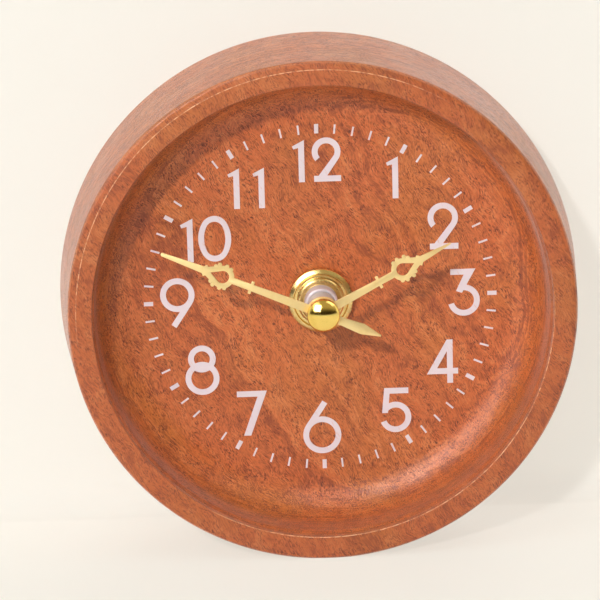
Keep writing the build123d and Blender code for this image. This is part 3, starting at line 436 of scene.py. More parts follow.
def turning_marks():
    """Fine rings that a lathe leaves round the clock's axis."""
    group, (spacing, *_), result = effect("Turning marks", [("Spacing", 0.2)], ["Height"])
    x, y, z = split(group, object_place(group))
    across = total(group, distance(group, x, z), y)
    group.links.new(line_noise(group, maths(group, "DIVIDE", across, spacing), 1.0), result[0])
    return group


def scratches():
    """Fine scratches in two directions, as a relief and a mask."""
    inputs = [("Size", 1.0), ("Share", 0.3)]
    group, (size, share, *_), result = effect("Fine scratches", inputs, ["Height", "Mask"])
    inputs = {0: object_place(group), 3: size}
    here = put(group, "VectorMath", inputs, operation="SCALE")[0]
    crossed = put(group, "Mapping", {"Vector": here, "Rotation": (0.3, 0.9, 0.2)})[0]
    one = grain(group, here, (0.12, 0.5, 3.0), 3.0)
    other = grain(group, crossed, (3.0, 0.4, 0.15), 3.0)
    height = product(group, total(group, one, other), 0.5)
    edge = product(group, maths(group, "SUBTRACT", 1.0, share), 0.75)
    group.links.new(height, result[0])
    group.links.new(between(group, height, edge, 0.75), result[1])
    return group


def handling():
    """Roughness that varies softly over a surface, as from touch and wiping."""
    inputs = [("Size", 8.0), ("Low", 0.3), ("High", 0.5)]
    group, (size, low, high, *_), result = effect("Handling", inputs, ["Roughness"])
    cloud = noise(group, object_place(group), maths(group, "DIVIDE", 1.0, size), 5.0)
    spread = product(group, between(group, cloud, 0.35, 0.65), maths(group, "SUBTRACT", high, low))
    group.links.new(total(group, low, spread), result[0])
    return group


def moulding():
    """The fine grain of a moulded surface."""
    group, (size, *_), result = effect("Moulded grain", [("Size", 0.2)], ["Height"])
    scale = maths(group, "DIVIDE", 1.0, size)
    group.links.new(noise(group, object_place(group), scale, 3.0), result[0])
    return group


EFFECTS = {"turning": turning_marks, "scratches": scratches, "handling": handling, "moulding": moulding}
made_effects = {}


def use(tree, name, **values):
    """Places an effect in a material with its own values, and returns its outputs."""
    if name not in made_effects:
        made_effects[name] = EFFECTS[name]()
    node = tree.nodes.new("ShaderNodeGroup")
    node.node_tree = made_effects[name]
    for label, value in values.items():
        node.inputs[label].default_value = value
    return node.outputs


def empty_material(name):
    """A material without nodes yet, and its node tree."""
    material = bpy.data.materials.new(name)
    material.use_nodes = True
    material.node_tree.nodes.clear()
    return material, material.node_tree


def new_material(name, **values):
    """A material with a Principled shader, and its plain values set on its sockets."""
    material, tree = empty_material(name)
    shader = tree.nodes.new("ShaderNodeBsdfPrincipled")
    put(tree, "OutputMaterial", {"Surface": shader.outputs[0]})
    for label, value in values.items():
        shader.inputs[label.replace("_", " ")].default_value = value
    return material, tree, shader


def shade(tree, shader, **links):
    """Links sockets to the inputs of a shader."""
    for label, socket in links.items():
        tree.links.new(socket, shader.inputs[label.replace("_", " ")])


# Finishes


def fibre_frame(tree, tilt):
    """The place on the clock, and in the wood: across wandering fibres, depth, and along them."""
    here = object_place(tree)
    across, along = (
        put(tree, "VectorMath", {0: here, 1: direction}, operation="DOT_PRODUCT")[1]
        for direction in ((math.cos(tilt), 0, -math.sin(tilt)), (math.sin(tilt), 0, math.cos(tilt)))
    )
    wander = centred(tree, grain(tree, here, (10, 14, 10)))
    across = total(tree, across, product(tree, wander, 4.5))
    wood = put(tree, "CombineXYZ", {0: across, 1: split(tree, here)[1], 2: along})[0]
    return here, wood, across


def growth_layers(tree, depth, across, wood, small_warp):
    """Growth layers that lie nearly parallel to the dial, gently warped."""
    wide_warp = grain(tree, wood, (16, 26, 38))
    layer = total(
        tree, depth, product(tree, across, 0.1), product(tree, wide_warp, 3.6), product(tree, small_warp, 0.8)
    )
    broad = line_noise(tree, layer, 0.75, 3.0, 0.6)
    fine = line_noise(tree, layer, 3.4, 2.0, 0.6)
    return weighted(tree, (broad, 0.6), (fine, 0.4))


def open_pores(tree, wood):
    """Masks of open pores, as short dashes along the fibre, and of finer flecks between them."""
    dashes = grain(tree, wood, (0.19, 0.22, 0.95), 1.0)
    clusters = grain(tree, wood, (2.2, 1.2, 3.4), 3.0)
    edge = between(tree, clusters, 0.35, 0.66, 0.67, 0.54)
    pores = between(tree, dashes, edge, total(tree, edge, 0.08))
    flecks = between(tree, grain(tree, wood, (0.26, 0.26, 0.9), 2.0, 0.6), 0.5, 0.64)
    return pores, product(tree, flecks, between(tree, clusters, 0.34, 0.6, 0.35, 1.0))


def painted_edge_highlights(tree, case, here, radius):
    """Mask of highlights painted on the rim's edges where the lamps glint: the outer one at the upper left,
    the inner one at the lower right.
    """
    height, rim, inner = rim_sizes(case)
    x, y, z = split(tree, here)
    upper_left = weighted(tree, (z, 0.85), (x, -0.53))
    outer = product(tree, near(tree, radius, rim - RIM_BEVEL, 0.13), between(tree, upper_left, 18.0, 36.0))
    lower = product(tree, near(tree, radius, inner + RIM_EDGE, 0.13), between(tree, upper_left, -14.0, -34.0))
    at_front = between(tree, y, 0.3 - height, 0.1 - height)
    broken = between(tree, grain(tree, here, (0.9, 0.9, 0.9), 3.0, 0.7), 0.4, 0.6, 0.15, 0.85)
    return product(tree, total(tree, outer, lower), at_front, broken)


def oiled_wood(settings):
    """Brown wood with open pores under a thin oil film, darker on the rim, with highlights painted on the
    rim's edges.
    """
    case = settings.case
    material, tree, shader = new_material(
        "Oiled wood", IOR=1.5, Specular_IOR_Level=0.7, Sheen_Weight=0.25, Sheen_Roughness=0.35
    )
    here, wood, across = fibre_frame(tree, case.fibre_tilt)
    height, rim, inner = rim_sizes(case)
    x, y, z = split(tree, here)
    radius = distance(tree, x, z)

    # Masks of the bowl's wall, the side and the rim, by millimetres from the rim's edges and front
    off_dial = product(
        tree, between(tree, radius, inner - 8.3, inner - 0.3), between(tree, y, 0.1 - height, 0.4 - height)
    )
    on_side = product(
        tree, between(tree, radius, rim - RIM_BEVEL, rim - 0.2), between(tree, y, 0.7 - height, 1.0 - height)
    )
    on_rim = between(tree, y, 0.4 - height, 0.2 - height)

    # Dark and pale tones from growth layers, fibre streaks, mottle, lathe rings and lines along the side
    small_warp = grain(tree, wood, (3.5, 7, 7), 3.0)
    layers = growth_layers(tree, y, across, wood, small_warp)
    streaks = grain(tree, wood, (0.34, 0.34, 1.9), 3.0, 0.6)
    mottle = grain(tree, wood, (2.4, 3, 4), 4.0, 0.6)
    rings = centred(tree, use(tree, "turning", Spacing=0.4)[0])
    side_lines = centred(tree, line_noise(tree, total(tree, y, product(tree, small_warp, 0.9)), 2.6))
    tone = weighted(
        tree,
        (layers, 0.42),
        (streaks, 0.3),
        (mottle, 0.28),
        (rings, off_dial, 0.22),
        (side_lines, on_side, 0.5),
    )
    golden = grain(tree, wood, (18, 12, 24))
    golden_share = total(tree, between(tree, golden, 0.45, 0.65, 0.0, 0.45), product(tree, off_dial, 0.25))
    tint = blend(tree, golden_share, case.wood, case.wood_gold)

    # A few long figure lines follow the fibre, and the rim is darker
    figure = near(tree, grain(tree, wood, (1.1, 6, 15), 3.0), 0.56, 0.018)
    pores, flecks = open_pores(tree, wood)
    for mask, share, over in (
        (between(tree, tone, 0.5, 0.4), 0.8, case.wood_dark),
        (between(tree, tone, 0.5, 0.6), 0.7, case.wood_pale),
        (pores, 0.92, case.pore),
        (flecks, 1.0, case.wood_dark),
        (product(tree, figure, between(tree, golden, 0.4, 0.56)), 0.5, case.wood_dark),
        (on_rim, 0.3, case.wood_dark),
        # Painted highlights on the rim's edges, outside at the upper left and inside at the lower right
        (painted_edge_highlights(tree, case, here, radius), 1.0, case.painted_edge_highlight),
    ):
        tint = blend(tree, product(tree, mask, share), tint, over)

    # Sunk pores, raised grain and the fine speckle of the oil film
    relief = weighted(tree, (streaks, 0.4), (pores, -0.5), (side_lines, on_side, 2.6))
    speckle = grain(tree, wood, (0.34, 0.34, 0.5), 2.0, 0.7)
    surface = bump(tree, speckle, 0.12, 1.0, bump(tree, relief, 0.05, 0.8))
    rough = total(tree, use(tree, "handling", Size=9.0, Low=0.28, High=0.36)[0], product(tree, pores, 0.25))
    shade(tree, shader, Base_Color=tint, Roughness=rough, Normal=surface)
    return material


def dial_print(settings):
    """Pale ink, printed thinly enough for the wood to show through in places."""
    material, tree, shader = new_material("Printed ink", IOR=1.45)
    _, wood, _ = fibre_frame(tree, settings.case.fibre_tilt)
    thin = grain(tree, wood, (0.3, 0.3, 2.0), 3.0)
    bare = between(tree, thin, 0.6, 0.8, 0.0, 0.4)
    ink = blend(tree, bare, settings.metal.print_ink, settings.case.wood_pale)
    rough = use(tree, "handling", Size=5.0, Low=0.4, High=0.52)[0]
    shade(tree, shader, Base_Color=ink, Roughness=rough, Normal=bump(tree, thin, 0.02, 0.5))
    return material


def metal(name, tint, dull, low, high, spacing=0.0, relief=0.004, share=0.25, metallic=1.0):
    """A worn metal: fine scratches, polish that varies from low to high and, where asked, lathe rings."""
    material, tree, shader = new_material(name, Metallic=metallic)
    lines, marks = use(tree, "scratches", Size=1.0, Share=share)
    surface = bump(tree, lines, relief, 0.6)
    if spacing:
        surface = bump(tree, use(tree, "turning", Spacing=spacing)[0], relief, 0.8, surface)
    rough = total(tree, use(tree, "handling", Size=3.0, Low=low, High=high)[0], product(tree, marks, 0.12))
    tarnish = grain(tree, object_place(tree), (2, 2, 2), 4.0)
    tint_of = blend(tree, between(tree, tarnish, 0.45, 0.75, 0.0, 0.6), tint, dull)
    shade(tree, shader, Base_Color=tint_of, Roughness=rough, Normal=surface)
    return material


def lamination_steel(settings):
    """Stacked steel sheets, with dark joints between them."""
    material, tree, shader = new_material("Laminated steel", Metallic=1.0)
    here = object_place(tree)
    sheets = maths(tree, "FRACT", maths(tree, "DIVIDE", split(tree, here)[1], 0.27))
    joint = between(tree, maths(tree, "ABSOLUTE", centred(tree, sheets)), 0.38, 0.48)
    stain = between(tree, grain(tree, here, (3, 3, 3), 5.0), 0.4, 0.7)
    grey = blend(tree, stain, linear(150, 149, 148), linear(112, 104, 96))
    grey = blend(tree, joint, grey, linear(50, 46, 42))
    lines, _ = use(tree, "scratches", Size=1.5, Share=0.3)
    surface = bump(tree, joint, -0.03, 0.8, bump(tree, lines, 0.005, 0.6))
    rough = use(tree, "handling", Size=2.0, Low=0.38, High=0.55)[0]
    shade(tree, shader, Base_Color=grey, Roughness=rough, Normal=surface)
    return material


def plastic(name, tint, shadow, low, high, size=0.15, relief=0.01):
    """A moulded plastic with fine grain, a little colour drift and soft scuffs."""
    material, tree, shader = new_material(name, IOR=1.46)
    drift = between(tree, grain(tree, object_place(tree), (6, 6, 6), 4.0), 0.35, 0.75)
    lines, marks = use(tree, "scratches", Size=0.8, Share=0.22)
    tint_of = blend(tree, product(tree, marks, 0.08), blend(tree, drift, tint, shadow), linear(190, 188, 184))
    surface = bump(tree, use(tree, "moulding", Size=size)[0], relief, 0.8, bump(tree, lines, 0.004, 0.4))
    rough = use(tree, "handling", Size=6.0, Low=low, High=high)[0]
    shade(tree, shader, Base_Color=tint_of, Roughness=rough, Normal=surface)
    return material


def copper_wire(settings):
    """Turns of enamelled wire side by side, each a little different in colour, with painted shade in the
    grooves between them.
    """
    material, tree, shader = new_material(
        "Enamelled copper wire", Metallic=1.0, Coat_Weight=0.6, Coat_Roughness=0.15
    )
    here = object_place(tree)
    waver = product(tree, grain(tree, here, (2, 2, 2)), 0.15)
    count = maths(tree, "DIVIDE", total(tree, split(tree, here)[0], waver), 0.11)
    round_wire = maths(tree, "SQRT", product(tree, maths(tree, "PINGPONG", count, 0.5), 2.0))
    strand = line_noise(tree, maths(tree, "FLOOR", count), 7.3, 0.0)
    copper = blend(tree, between(tree, strand, 0.3, 0.7), linear(196, 98, 52), linear(158, 66, 32))
    # Painted shade: the grooves between the turns are darkened
    copper = blend(tree, between(tree, round_wire, 0.45, 0.1), copper, linear(60, 22, 12))
    rough = use(tree, "handling", Size=2.0, Low=0.24, High=0.36)[0]
    shade(tree, shader, Base_Color=copper, Roughness=rough, Normal=bump(tree, round_wire, 0.05, 1.0))
    return material


def circuit_board(settings):
    """Green lacquer over woven glass and copper tracks."""
    material, tree, shader = new_material("Circuit board", IOR=1.5)
    here = object_place(tree)
    x, _, z = split(tree, here)
    weave = product(tree, total(tree, *(maths(tree, "PINGPONG", value, 0.35) for value in (x, z))), 1.4)
    inputs = {"Vector": here, "Scale": 0.35, "Randomness": 0.6}
    cells = put(tree, "TexVoronoi", inputs, feature="DISTANCE_TO_EDGE")[0]
    track = between(tree, cells, 0.1, 0.07)
    green = blend(tree, between(tree, weave, 0.3, 0.8), linear(24, 92, 52), linear(18, 74, 42))
    tint = blend(tree, track, green, linear(62, 138, 76))
    surface = bump(tree, track, 0.03, 0.8, bump(tree, weave, 0.008, 0.6))
    rough = use(tree, "handling", Size=4.0, Low=0.3, High=0.42)[0]
    shade(tree, shader, Base_Color=tint, Roughness=rough, Normal=surface)
    return material


def cell_jacket(settings):
    """A pale printed jacket with a broad blue band and two thin lines, and bare steel ends."""
    material, tree, shader = new_material("Cell jacket", IOR=1.5, Coat_Weight=0.3, Coat_Roughness=0.12)
    here = object_place(tree)
    inputs = {0: here, 1: (cell_middle - axis) / MM}
    x, y, z = split(tree, put(tree, "VectorMath", inputs, operation="SUBTRACT")[0])
    drift = grain(tree, here, (5, 3, 3), 4.0)
    blue = linear(28, 74, 140)
    tint = blend(tree, drift, linear(206, 207, 206), linear(224, 224, 221))
    tint = blend(tree, between(tree, x, 9.0, 9.1), tint, blend(tree, drift, blue, linear(36, 88, 158)))
    for start, end in ((6.6, 7.2), (5.2, 5.5)):
        line = product(tree, between(tree, x, start, start + 0.1), between(tree, x, end + 0.1, end))
        tint = blend(tree, line, tint, blue)
    lines, marks = use(tree, "scratches", Size=0.8, Share=0.3)
    tint = blend(tree, product(tree, marks, 0.25), tint, linear(150, 148, 144))
    inside, at_ends = between(tree, distance(tree, y, z), 6.35, 6.25), maths(tree, "ABSOLUTE", x)
    steel = product(tree, inside, between(tree, at_ends, 23, 23.4))
    tint = blend(tree, steel, tint, linear(196, 194, 188))
    surface = bump(tree, lines, 0.005, 0.5)
    rough = use(tree, "handling", Size=5.0, Low=0.24, High=0.38)[0]
    shade(tree, shader, Base_Color=tint, Roughness=rough, Metallic=steel, Normal=surface)
    return material


# Material, setting of the tint, dull tint, lowest and highest roughness, spacing of lathe rings, relief,
# share of scratches, and how metallic it is
METALS = {
    "polished_brass": ("Polished brass", "brass", (240, 200, 100), 0.11, 0.17, 0, 0.001, 0.12),
    "turned_brass": ("Turned brass", "nut_brass", (222, 186, 112), 0.2, 0.3, 0.12, 0.003, 0.2),
    "satin_brass": ("Satin brass", "hands", (246, 214, 146), 0.42, 0.52, 0, 0.006),
    "plated_metal": ("Nickel plate", "nickel", (222, 214, 216), 0.42, 0.52, 0.15, 0.004, 0.25, 0.6),
    "steel": ("Steel", "steel", (140, 136, 130), 0.3, 0.42, 0.2),
    "magnet": ("Magnet", "magnet", (60, 58, 60), 0.4, 0.6),
}

# Material, tint, shadow tint, lowest and highest roughness, size of the grain, and relief
PLASTICS = {
    "white_plastic": ("White acetal", (232, 230, 222), (216, 213, 202), 0.32, 0.42),
    "amber_plastic": ("Amber acetal", (214, 168, 92), (192, 140, 66), 0.3, 0.42),
    "black_plastic": ("Black plastic", (42, 42, 44), (32, 32, 34), 0.36, 0.52, 0.24, 0.025),
    "rubber": ("Rubber", (30, 29, 28), (46, 44, 42), 0.7, 0.85, 0.3, 0.03),
}

OTHERS = {
    "wood": oiled_wood,
    "dial_print": dial_print,
    "lamination_steel": lamination_steel,
    "copper_wire": copper_wire,
    "board": circuit_board,
    "cell_jacket": cell_jacket,
}

made_finishes = {}


def make_finish(name, settings):
    """Makes the material of a finish."""
    if name in METALS:
        material, setting, dull, *values = METALS[name]
        return metal(material, getattr(settings.metal, setting), linear(*dull), *values)
    if name in PLASTICS:
        material, tint, shadow, *values = PLASTICS[name]
        return plastic(material, linear(*tint), linear(*shadow), *values)
    return OTHERS[name](settings)


def finish_of(name):
    """The material of a finish, made once."""
    if name not in made_finishes:
        made_finishes[name] = make_finish(name, bpy.context.scene.desk_clock)
    return made_finishes[name]


# Pieces


class DESKCLOCK_OT_case(bpy.types.Operator):
    """Turns the wooden case: rim, bowl, flared side, back recess and base flat."""

    bl_idname = "desk_clock.case"
    bl_label = "Wooden case"

    def execute(self, context):
        case = context.scene.desk_clock.case
        bowl, rim, inner = rim_sizes(case)
        radii = case.cove_radius, case.widest_radius, case.back_radius, case.recess_radius
        cove, widest, back, recess = (radius / MM for radius in radii)
        shaft_hole, belly, back_face, recess_floor = 4.0, -10.6, -22.4, -5.0
        corners = [
            (shaft_hole, 0, 0.25),
            (inner - 0.7, 0, cove),
            (inner - 0.4, bowl - 3.0, 0.9),
            (inner, bowl - 1.6, 0.8),
            (inner, bowl, RIM_EDGE),
            (rim - RIM_BEVEL, bowl, RIM_EDGE),
            (rim - 0.4, bowl - 0.15, 0.4),
            (rim, bowl - 0.8, 0.5),
            (widest, belly, 6),
            (back, back_face, 1.5),
            (recess, back_face, 0.6),
            (recess, recess_floor, 1.5),
            (shaft_hole, recess_floor, 0),
        ]
        piece = turned("wooden_case", corners, steps=case.facets, segments=10)

        # The flat it stands on
        bpy.ops.mesh.select_all(action="SELECT")
        bpy.ops.mesh.bisect(
            plane_co=(0, 0, 0), plane_no=(0, 0, 1), use_fill=True, clear_inner=True, threshold=SAME_PLACE
        )
        bpy.ops.mesh.mark_sharp()
        finish_piece(piece, "case", "wood", "case", smooth=40)
        return {"FINISHED"}


class DESKCLOCK_OT_dial(bpy.types.Operator):
    """Inks the printed numerals and marks."""

    bl_idname = "desk_clock.dial"
    bl_label = "Printed dial"

    def execute(self, context):
        dress("dial_print", "hour_numerals", "hour_marks", "minute_marks")
        return {"FINISHED"}


class DESKCLOCK_OT_fixing(bpy.types.Operator):
    """Turns the brass nut and the threaded bushing, and finishes both washers."""

    bl_idname = "desk_clock.fixing"
    bl_label = "Nut, bushing and washers"

    def execute(self, context):
        seat, groove, flange, collar_end = 0.5, 2.15, 2.6, 3.4
        bore, collar, outside = 3.5, 4.92, 6.7
        corners = [
            (bore, seat, 0.1),
            (outside, seat, 0.1),
            (outside, groove, 0.12),
            (outside - 0.8, flange, 0.1),
            (outside - 0.95, flange, 0.06),
            (outside - 1.1, groove, 0.15),
            (collar, groove, 0.15),
            (collar, collar_end - 0.3, 0.12),
            (collar - 0.4, collar_end, 0.1),
            (collar - 0.57, collar_end, 0.08),
            (bore, collar_end - 0.6, 0.1),
        ]
        nut = turned("brass_nut", corners, steps=128, segments=4)
        finish_piece(nut, "case", "turned_brass", "fixing_nut")

        # The thread runs from the housing to just below the bushing's end
        pitch, crest, root, first_turn, turns = 0.5, 3.5, 3.28, -5.7, 24
        thread = []
        for turn in range(turns):
            start = first_turn + turn * pitch
            thread += [(crest, start, 0), (crest, start + 0.15 * pitch, 0), (root, start + 0.6 * pitch, 0)]
        bore, base, base_top, base_radius, end = 2.9, -7.3, -6.3, 5.0, 6.6
        corners = [
            (bore, base, 0),
            (base_radius, base, 0.1),
            (base_radius, base_top, 0.1),
            (crest, base_top, 0),
            *thread,
            (crest, end - 0.25, 0),
            (crest - 0.25, end, 0.05),
            (bore, end, 0.08),
        ]
        bushing = turned("plated_bushing", corners)
        finish_piece(bushing, "case", "plated_metal", "threaded_bushing", smooth=50)
        dress("steel", "dial_washer")
        dress("rubber", "rubber_washer")
        return {"FINISHED"}


class DESKCLOCK_OT_hands(bpy.types.Operator):
    """Finishes both hands with softly broken edges."""

    bl_idname = "desk_clock.hands"
    bl_label = "Hands"

    def execute(self, context):
        for node, name, body in (
            ("hour_hand", "brass_hour_hand", "hour_works"),
            ("minute_hand", "brass_minute_hand", "minute_works"),
        ):
            hand = merged_copy(node, name)
            soften(hand, 0.05)
            finish_piece(hand, body, "satin_brass", node, smooth=30)
        return {"FINISHED"}


class DESKCLOCK_OT_cap(bpy.types.Operator):
    """Turns the domed cap nut, with its flat foot and the bore for the arbor."""

    bl_idname = "desk_clock.cap"
    bl_label = "Domed cap"

    def execute(self, context):
        foot, bore_end, shoulder, tip = 14.95, 16.05, 16.3, 17.7
        bore, radius, steps = 1.2, 3.35, 16
        rise = tip - shoulder
        dome = (radius**2 + rise**2) / (2 * rise)
        turns = [math.asin(radius / dome) * k / steps for k in range(steps)]
        arc = [(dome * math.sin(turn), tip - dome * (1 - math.cos(turn)), 0) for turn in turns]
        corners = [(0, bore_end, 0), (bore, bore_end, 0), (bore, foot, 0.1), (radius, foot, 0.12)]
        corners += [(radius, shoulder, 0.3), *reversed(arc)]
        cap = turned("domed_cap", corners, steps=128, closed=False)
        finish_piece(cap, "minute_works", "polished_brass", "hand_cap", smooth=50)
        return {"FINISHED"}


class DESKCLOCK_OT_rear(bpy.types.Operator):
    """Moulds the movement's rear shell, with its polarity signs and turning arrow, and the setting knob."""

    bl_idname = "desk_clock.rear"
    bl_label = "Rear shell and knob"

    def execute(self, context):
        shell = merged_copy("rear_cover", "rear_shell")
        soften(shell, 0.22)

        # Plus by the cell's nub, minus by its flat end
        sign, stroke, inset = 3.8, 1.0, 4 * MM
        sign_z = cell_high.z + 3.6 * MM
        bars = [
            raised_bar(cell_high.x - inset, sign_z, sign, stroke),
            raised_bar(cell_high.x - inset, sign_z, stroke, sign),
            raised_bar(cell_low.x + inset, sign_z, sign, stroke),
        ]

        # A dashed arc over the knob that ends in an arrow head
        radius, half_angle, dashes = 9.2 * MM, 40, 6
        for k in range(dashes + 1):
            turn = math.radians(half_angle * (2 * k / dashes - 1))
            x, z = knob_middle.x + radius * math.sin(turn), knob_middle.z + radius * math.cos(turn)
            if k < dashes:
                bars.append(raised_bar(x, z, 1.5, 0.8, turn))
        head = begin(
            "head",
            bpy.ops.mesh.primitive_cone_add,
            vertices=3,
            radius1=1.6 * MM,
            radius2=1.4 * MM,
            depth=SIGN_HEIGHT,
            location=(x, rear_face, z),
            rotation=(math.radians(-90), turn, 0),
        )
        alone(shell)
        for part in (*bars, head):
            part.select_set(True)
        bpy.ops.object.join()
        finish_piece(shell, "case", "black_plastic", "rear_cover", smooth=35)

        knob = merged_copy("set_knob", "notched_knob")
        soften(knob, 0.15)
        finish_piece(knob, "motion_works", "black_plastic", "set_knob", smooth=35)
        return {"FINISHED"}


class DESKCLOCK_OT_cell(bpy.types.Operator):
    """Turns the cell, with its crimped jacket, sunk ends and nub."""

    bl_idname = "desk_clock.cell"
    bl_label = "Battery cell"

    def execute(self, context):
        radius = (cell_high.z - cell_low.z) / 2 / MM
        half = (cell_high.x - cell_low.x) / 2 / MM
        shoulder = half - 1.5
        sunk, nub, crimp = 0.35, 2.7, 0.06

        # Flat end with its sunk ring, jacket crimped near both ends, and the nub's end
        corners = [
            (0, -half, 0),
            (4.6, -half, 0.3),
            (4.9, -half + sunk, 0.2),
            (6.0, -half + sunk, 0.2),
            (6.3, -half, 0.2),
            (radius, -half, 0.6),
            (radius, -half + 0.9, 0),
            (radius - crimp, -half + 1.0, 0),
            (radius - crimp, shoulder - 1.0, 0),
            (radius, shoulder - 0.9, 0),
            (radius, shoulder, 0.6),
            (6.2, shoulder, 0.2),
            (5.9, shoulder - sunk, 0.2),
            (nub + 0.7, shoulder - sunk, 0.2),
            (nub + 0.4, shoulder - 0.1, 0.15),
            (nub, shoulder - 0.1, 0.15),
            (nub, half, 0.5),
            (0, half, 0),
        ]
        cell = turned("jacketed_cell", corners, closed=False, at=cell_place)
        finish_piece(cell, "battery_cell", "cell_jacket", "battery_cell", smooth=35)
        return {"FINISHED"}


class DESKCLOCK_OT_works(bpy.types.Operator):
    """Finishes the wheels, plates and motor inside the movement."""

    bl_idname = "desk_clock.works"
    bl_label = "Movement"

    def execute(self, context):
        for finish, *nodes in (
            ("white_plastic", "minute_arbor", "motion_wheel", "hour_wheel", "third_wheel"),
            ("white_plastic", "intermediate_wheel", "middle_plate", "coil_bobbin"),
            ("amber_plastic", "centre_wheel", "seconds_wheel", "rotor_pinion"),
            ("black_plastic", "front_plate", "chip"),
            ("magnet", "rotor_magnet"),
            ("lamination_steel", "stator", "coil_core"),
            ("copper_wire", "coil_winding"),
            ("satin_brass", "core_rivets"),
            ("board", "circuit_board"),
            ("plated_metal", "quartz_crystal"),
            ("steel", "positive_contact", "negative_contact"),
        ):
            dress(finish, *nodes)
        return {"FINISHED"}


# Stage


def flat_card(name, size, location, rotation=(0, 0, 0)):
    """A plain rectangular card of the set."""
    plane = bpy.ops.mesh.primitive_plane_add
    card = begin(name, plane, (*size, 1), size=1, location=location, rotation=rotation)
    return card


def seen_directly(tree):
    """Mask of the rays that come from the camera, straight or by way of gloss or something clear."""
    rays = put(tree, "LightPath")
    seen = maths(tree, "MAXIMUM", rays["Is Camera Ray"], rays["Is Glossy Ray"])
    return maths(tree, "MAXIMUM", seen, rays["Is Transmission Ray"])


def pale_sheet(stage, name, tint, own_share):
    """A pale sheet that takes the clock's shadow, and that lets the view through from behind."""
    material, tree = empty_material(name)
    own = put(tree, "Emission", {"Color": (*stage.backdrop, 1), "Strength": 1.0})[0]
    fleck = noise(tree, put(tree, "TexCoord")["Object"], 40.0, 3.0)
    paper = blend(tree, fleck, linear(*(value - 3 for value in tint)), linear(*tint))
    lit = put(tree, "BsdfDiffuse", {"Color": paper})[0]
    share = product(tree, seen_directly(tree), own_share)
    front = put(tree, "MixShader", {0: share, 1: lit, 2: own})[0]
    clear = put(tree, "BsdfTransparent")[0]
    behind = put(tree, "NewGeometry")["Backfacing"]
    whole = put(tree, "MixShader", {0: behind, 1: front, 2: clear})[0]
    put(tree, "OutputMaterial", {"Surface": whole})
    return material


def reflected_cloth(name, low, high):
    """Cloth for reflections: dark up to one height in metres, and paler above another."""
    material, tree = empty_material(name)
    here = put(tree, "TexCoord")["Object"]
    folds = product(tree, noise(tree, here, 6.0, 3.0), 0.2)
    share = between(tree, total(tree, split(tree, here)[2], folds), low, high)
    tint = blend(tree, share, linear(52, 44, 26), linear(176, 164, 132))
    own = put(tree, "Emission", {"Color": tint, "Strength": 1.0})[0]
    put(tree, "OutputMaterial", {"Surface": own})
    return material


def soft_lamp(name, direction, distance_m, size, power, glossy):
    """A rectangular lamp at a direction from the dial, turned to face it."""
    towards = Vector(direction).normalized()
    bpy.ops.object.light_add(type="AREA", location=axis + towards * distance_m)
    lamp = bpy.context.object
    lamp.name = name
    lamp.rotation_euler = towards.to_track_quat("Z", "Y").to_euler()
    lamp.data.shape = "RECTANGLE"
    lamp.data.size, lamp.data.size_y = size
    lamp.data.energy = power
    lamp.visible_glossy = glossy
    return lamp


def swept_sheet(name):
    """A close upright sheet that sweeps up from the floor just behind the clock."""
    height, fold = 0.3, 7 * MM
    sheet = begin(name, bpy.ops.mesh.primitive_plane_add, (0.5, 0.4, 1), size=1, location=(0, -0.176, 0))
    bpy.ops.object.mode_set(mode="EDIT")
    pick("EDGE", lambda e: all(v.co.y > 0 for v in e.verts))
    bpy.ops.mesh.extrude_region_move(TRANSFORM_OT_translate={"value": (0, 0, height)})
    pick("EDGE", lambda e: all(v.co.y > 0 and v.co.z < MM for v in e.verts))
    bpy.ops.mesh.bevel(offset=fold, segments=12)
    pick("FACE", lambda f: f.normal.y > 0.1 or f.normal.z < -0.1)
    bpy.ops.mesh.flip_normals()
    bpy.ops.object.mode_set(mode="OBJECT")
    alone(sheet)
    bpy.ops.object.shade_smooth()
    sheet.visible_shadow = False
    return sheet


def room(stage):
    """The even light of the room, which shows as the backdrop's colour where it is seen directly."""
    world = bpy.data.worlds.new("Room")
    world.use_nodes = True
    tree = world.node_tree
    background = tree.nodes["Background"]
    background.inputs[0].default_value = (*stage.backdrop, 1)
    strength = between(tree, seen_directly(tree), 0.0, 1.0, stage.room_light, 1.0)
    tree.links.new(strength, background.inputs[1])
    return world


def fitted_camera(focal_length):
    """The camera, with the place and turn that were fitted to the clock's outlines."""
    right = Vector((0.99911554, -0.03269648, -0.02643998))
    up = Vector((0.03305653, 0.22212309, 0.97445811))
    back = Vector((-0.02598842, -0.97447025, 0.22300746))
    eye = Vector((-19.886, -584.617, 185.639)) * MM
    bpy.ops.object.camera_add()
    camera = bpy.context.object
    camera.matrix_world = Matrix.Translation(eye) @ Matrix((right, up, back)).transposed().to_4x4()
    camera.data.lens = focal_length
    camera.data.sensor_width = 36
    camera.data.clip_start = 0.01
    return camera


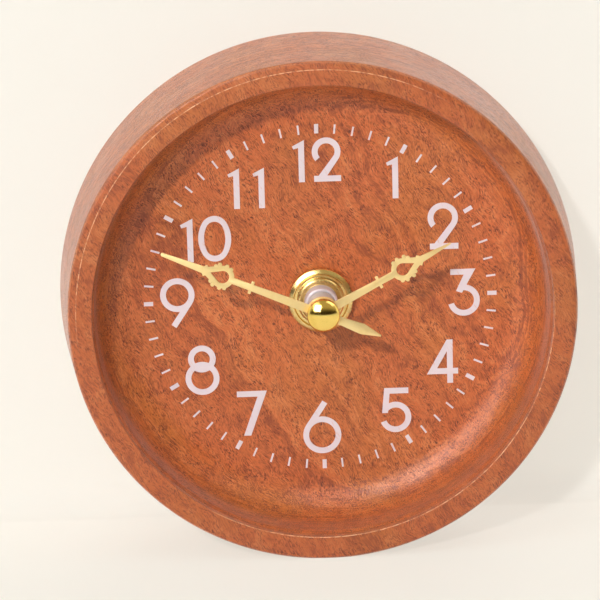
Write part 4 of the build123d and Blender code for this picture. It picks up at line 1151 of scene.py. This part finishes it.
class DESKCLOCK_OT_stage(bpy.types.Operator):
    """Sets the pale floor and sheet, the lamps, the room light and the camera."""

    bl_idname = "desk_clock.stage"
    bl_label = "Stage"

    def execute(self, context):
        stage = context.scene.desk_clock.stage
        floor = flat_card("floor", (8, 8), (0, 0, -0.2 * MM))
        floor.data.materials.append(pale_sheet(stage, "Pale floor", (254, 250, 242), own_share=0.48))
        sheet = swept_sheet("backdrop")
        sheet.data.materials.append(pale_sheet(stage, "Pale sheet", (254, 251, 244), own_share=0.67))

        # Direction from the dial, distance and sides in metres, power, and whether polished surfaces show it
        soft_lamp("key_lamp", (-0.32, -1.0, 0.5), 1.1, (0.06, 0.06), stage.key_power, False)
        soft_lamp("front_softbox", (-0.36, -1.0, 0.12), 1.2, (0.5, 0.4), stage.front_power, False)
        soft_lamp("left_softbox", (-0.52, -0.56, 0.64), 0.8, (0.46, 0.46), stage.left_power, True)
        sheen = soft_lamp("sheen_lamp", (-0.45, -0.72, 0.53), 0.9, (0.5, 0.5), stage.sheen_power, True)
        sheen.visible_diffuse = False
        soft_lamp("top_softbox", (-0.1, -0.45, 1.0), 0.9, (0.5, 0.4), stage.top_power, False)
        soft_lamp("right_softbox", (0.62, -0.22, 0.75), 0.9, (0.4, 0.5), stage.right_power, True)
        soft_lamp("rear_softbox", (0.3, 0.8, 0.5), 0.9, (0.6, 0.6), stage.rear_power, True)

        # Cloth in front and overhead, which only polished surfaces show
        cloth = reflected_cloth("Cloth", low=0.45, high=1.5)
        for name, size, location, rotation in (
            ("front_cloth", (9, 2.8), (0, -1.5, 1.43), (math.radians(90), 0, 0)),
            ("top_cloth", (1.6, 2.2), (0, -0.4, 2.8), (0, 0, 0)),
        ):
            card = flat_card(name, size, location, rotation)
            card.data.materials.append(cloth)
            card.visible_camera = card.visible_diffuse = False
            card.visible_shadow = card.visible_transmission = False

        context.scene.world = room(stage)
        context.scene.camera = fitted_camera(stage.focal_length)
        context.scene.view_settings.view_transform = "Standard"
        return {"FINISHED"}


PIECES = (
    DESKCLOCK_OT_case,
    DESKCLOCK_OT_dial,
    DESKCLOCK_OT_fixing,
    DESKCLOCK_OT_hands,
    DESKCLOCK_OT_cap,
    DESKCLOCK_OT_rear,
    DESKCLOCK_OT_cell,
    DESKCLOCK_OT_works,
    DESKCLOCK_OT_stage,
)


class DESKCLOCK_PT_panel(bpy.types.Panel):
    """Lists the clock's pieces in the sidebar."""

    bl_label = "Desk Clock"
    bl_idname = "DESKCLOCK_PT_panel"
    bl_space_type = "VIEW_3D"
    bl_region_type = "UI"
    bl_category = "Desk Clock"

    def draw(self, context):
        for piece in PIECES:
            self.layout.operator(piece.bl_idname)


CLASSES = (DeskClockCase, DeskClockMetal, DeskClockStage, DeskClockSettings, *PIECES, DESKCLOCK_PT_panel)


def register():
    for item in CLASSES:
        bpy.utils.register_class(item)
    bpy.types.Scene.desk_clock = PointerProperty(type=DeskClockSettings)


def unregister():
    del bpy.types.Scene.desk_clock
    for item in reversed(CLASSES):
        bpy.utils.unregister_class(item)


def main():
    register()
    for piece in PIECES:
        group, name = piece.bl_idname.split(".")
        getattr(getattr(bpy.ops, group), name)()


if __name__ == "__main__":
    main()
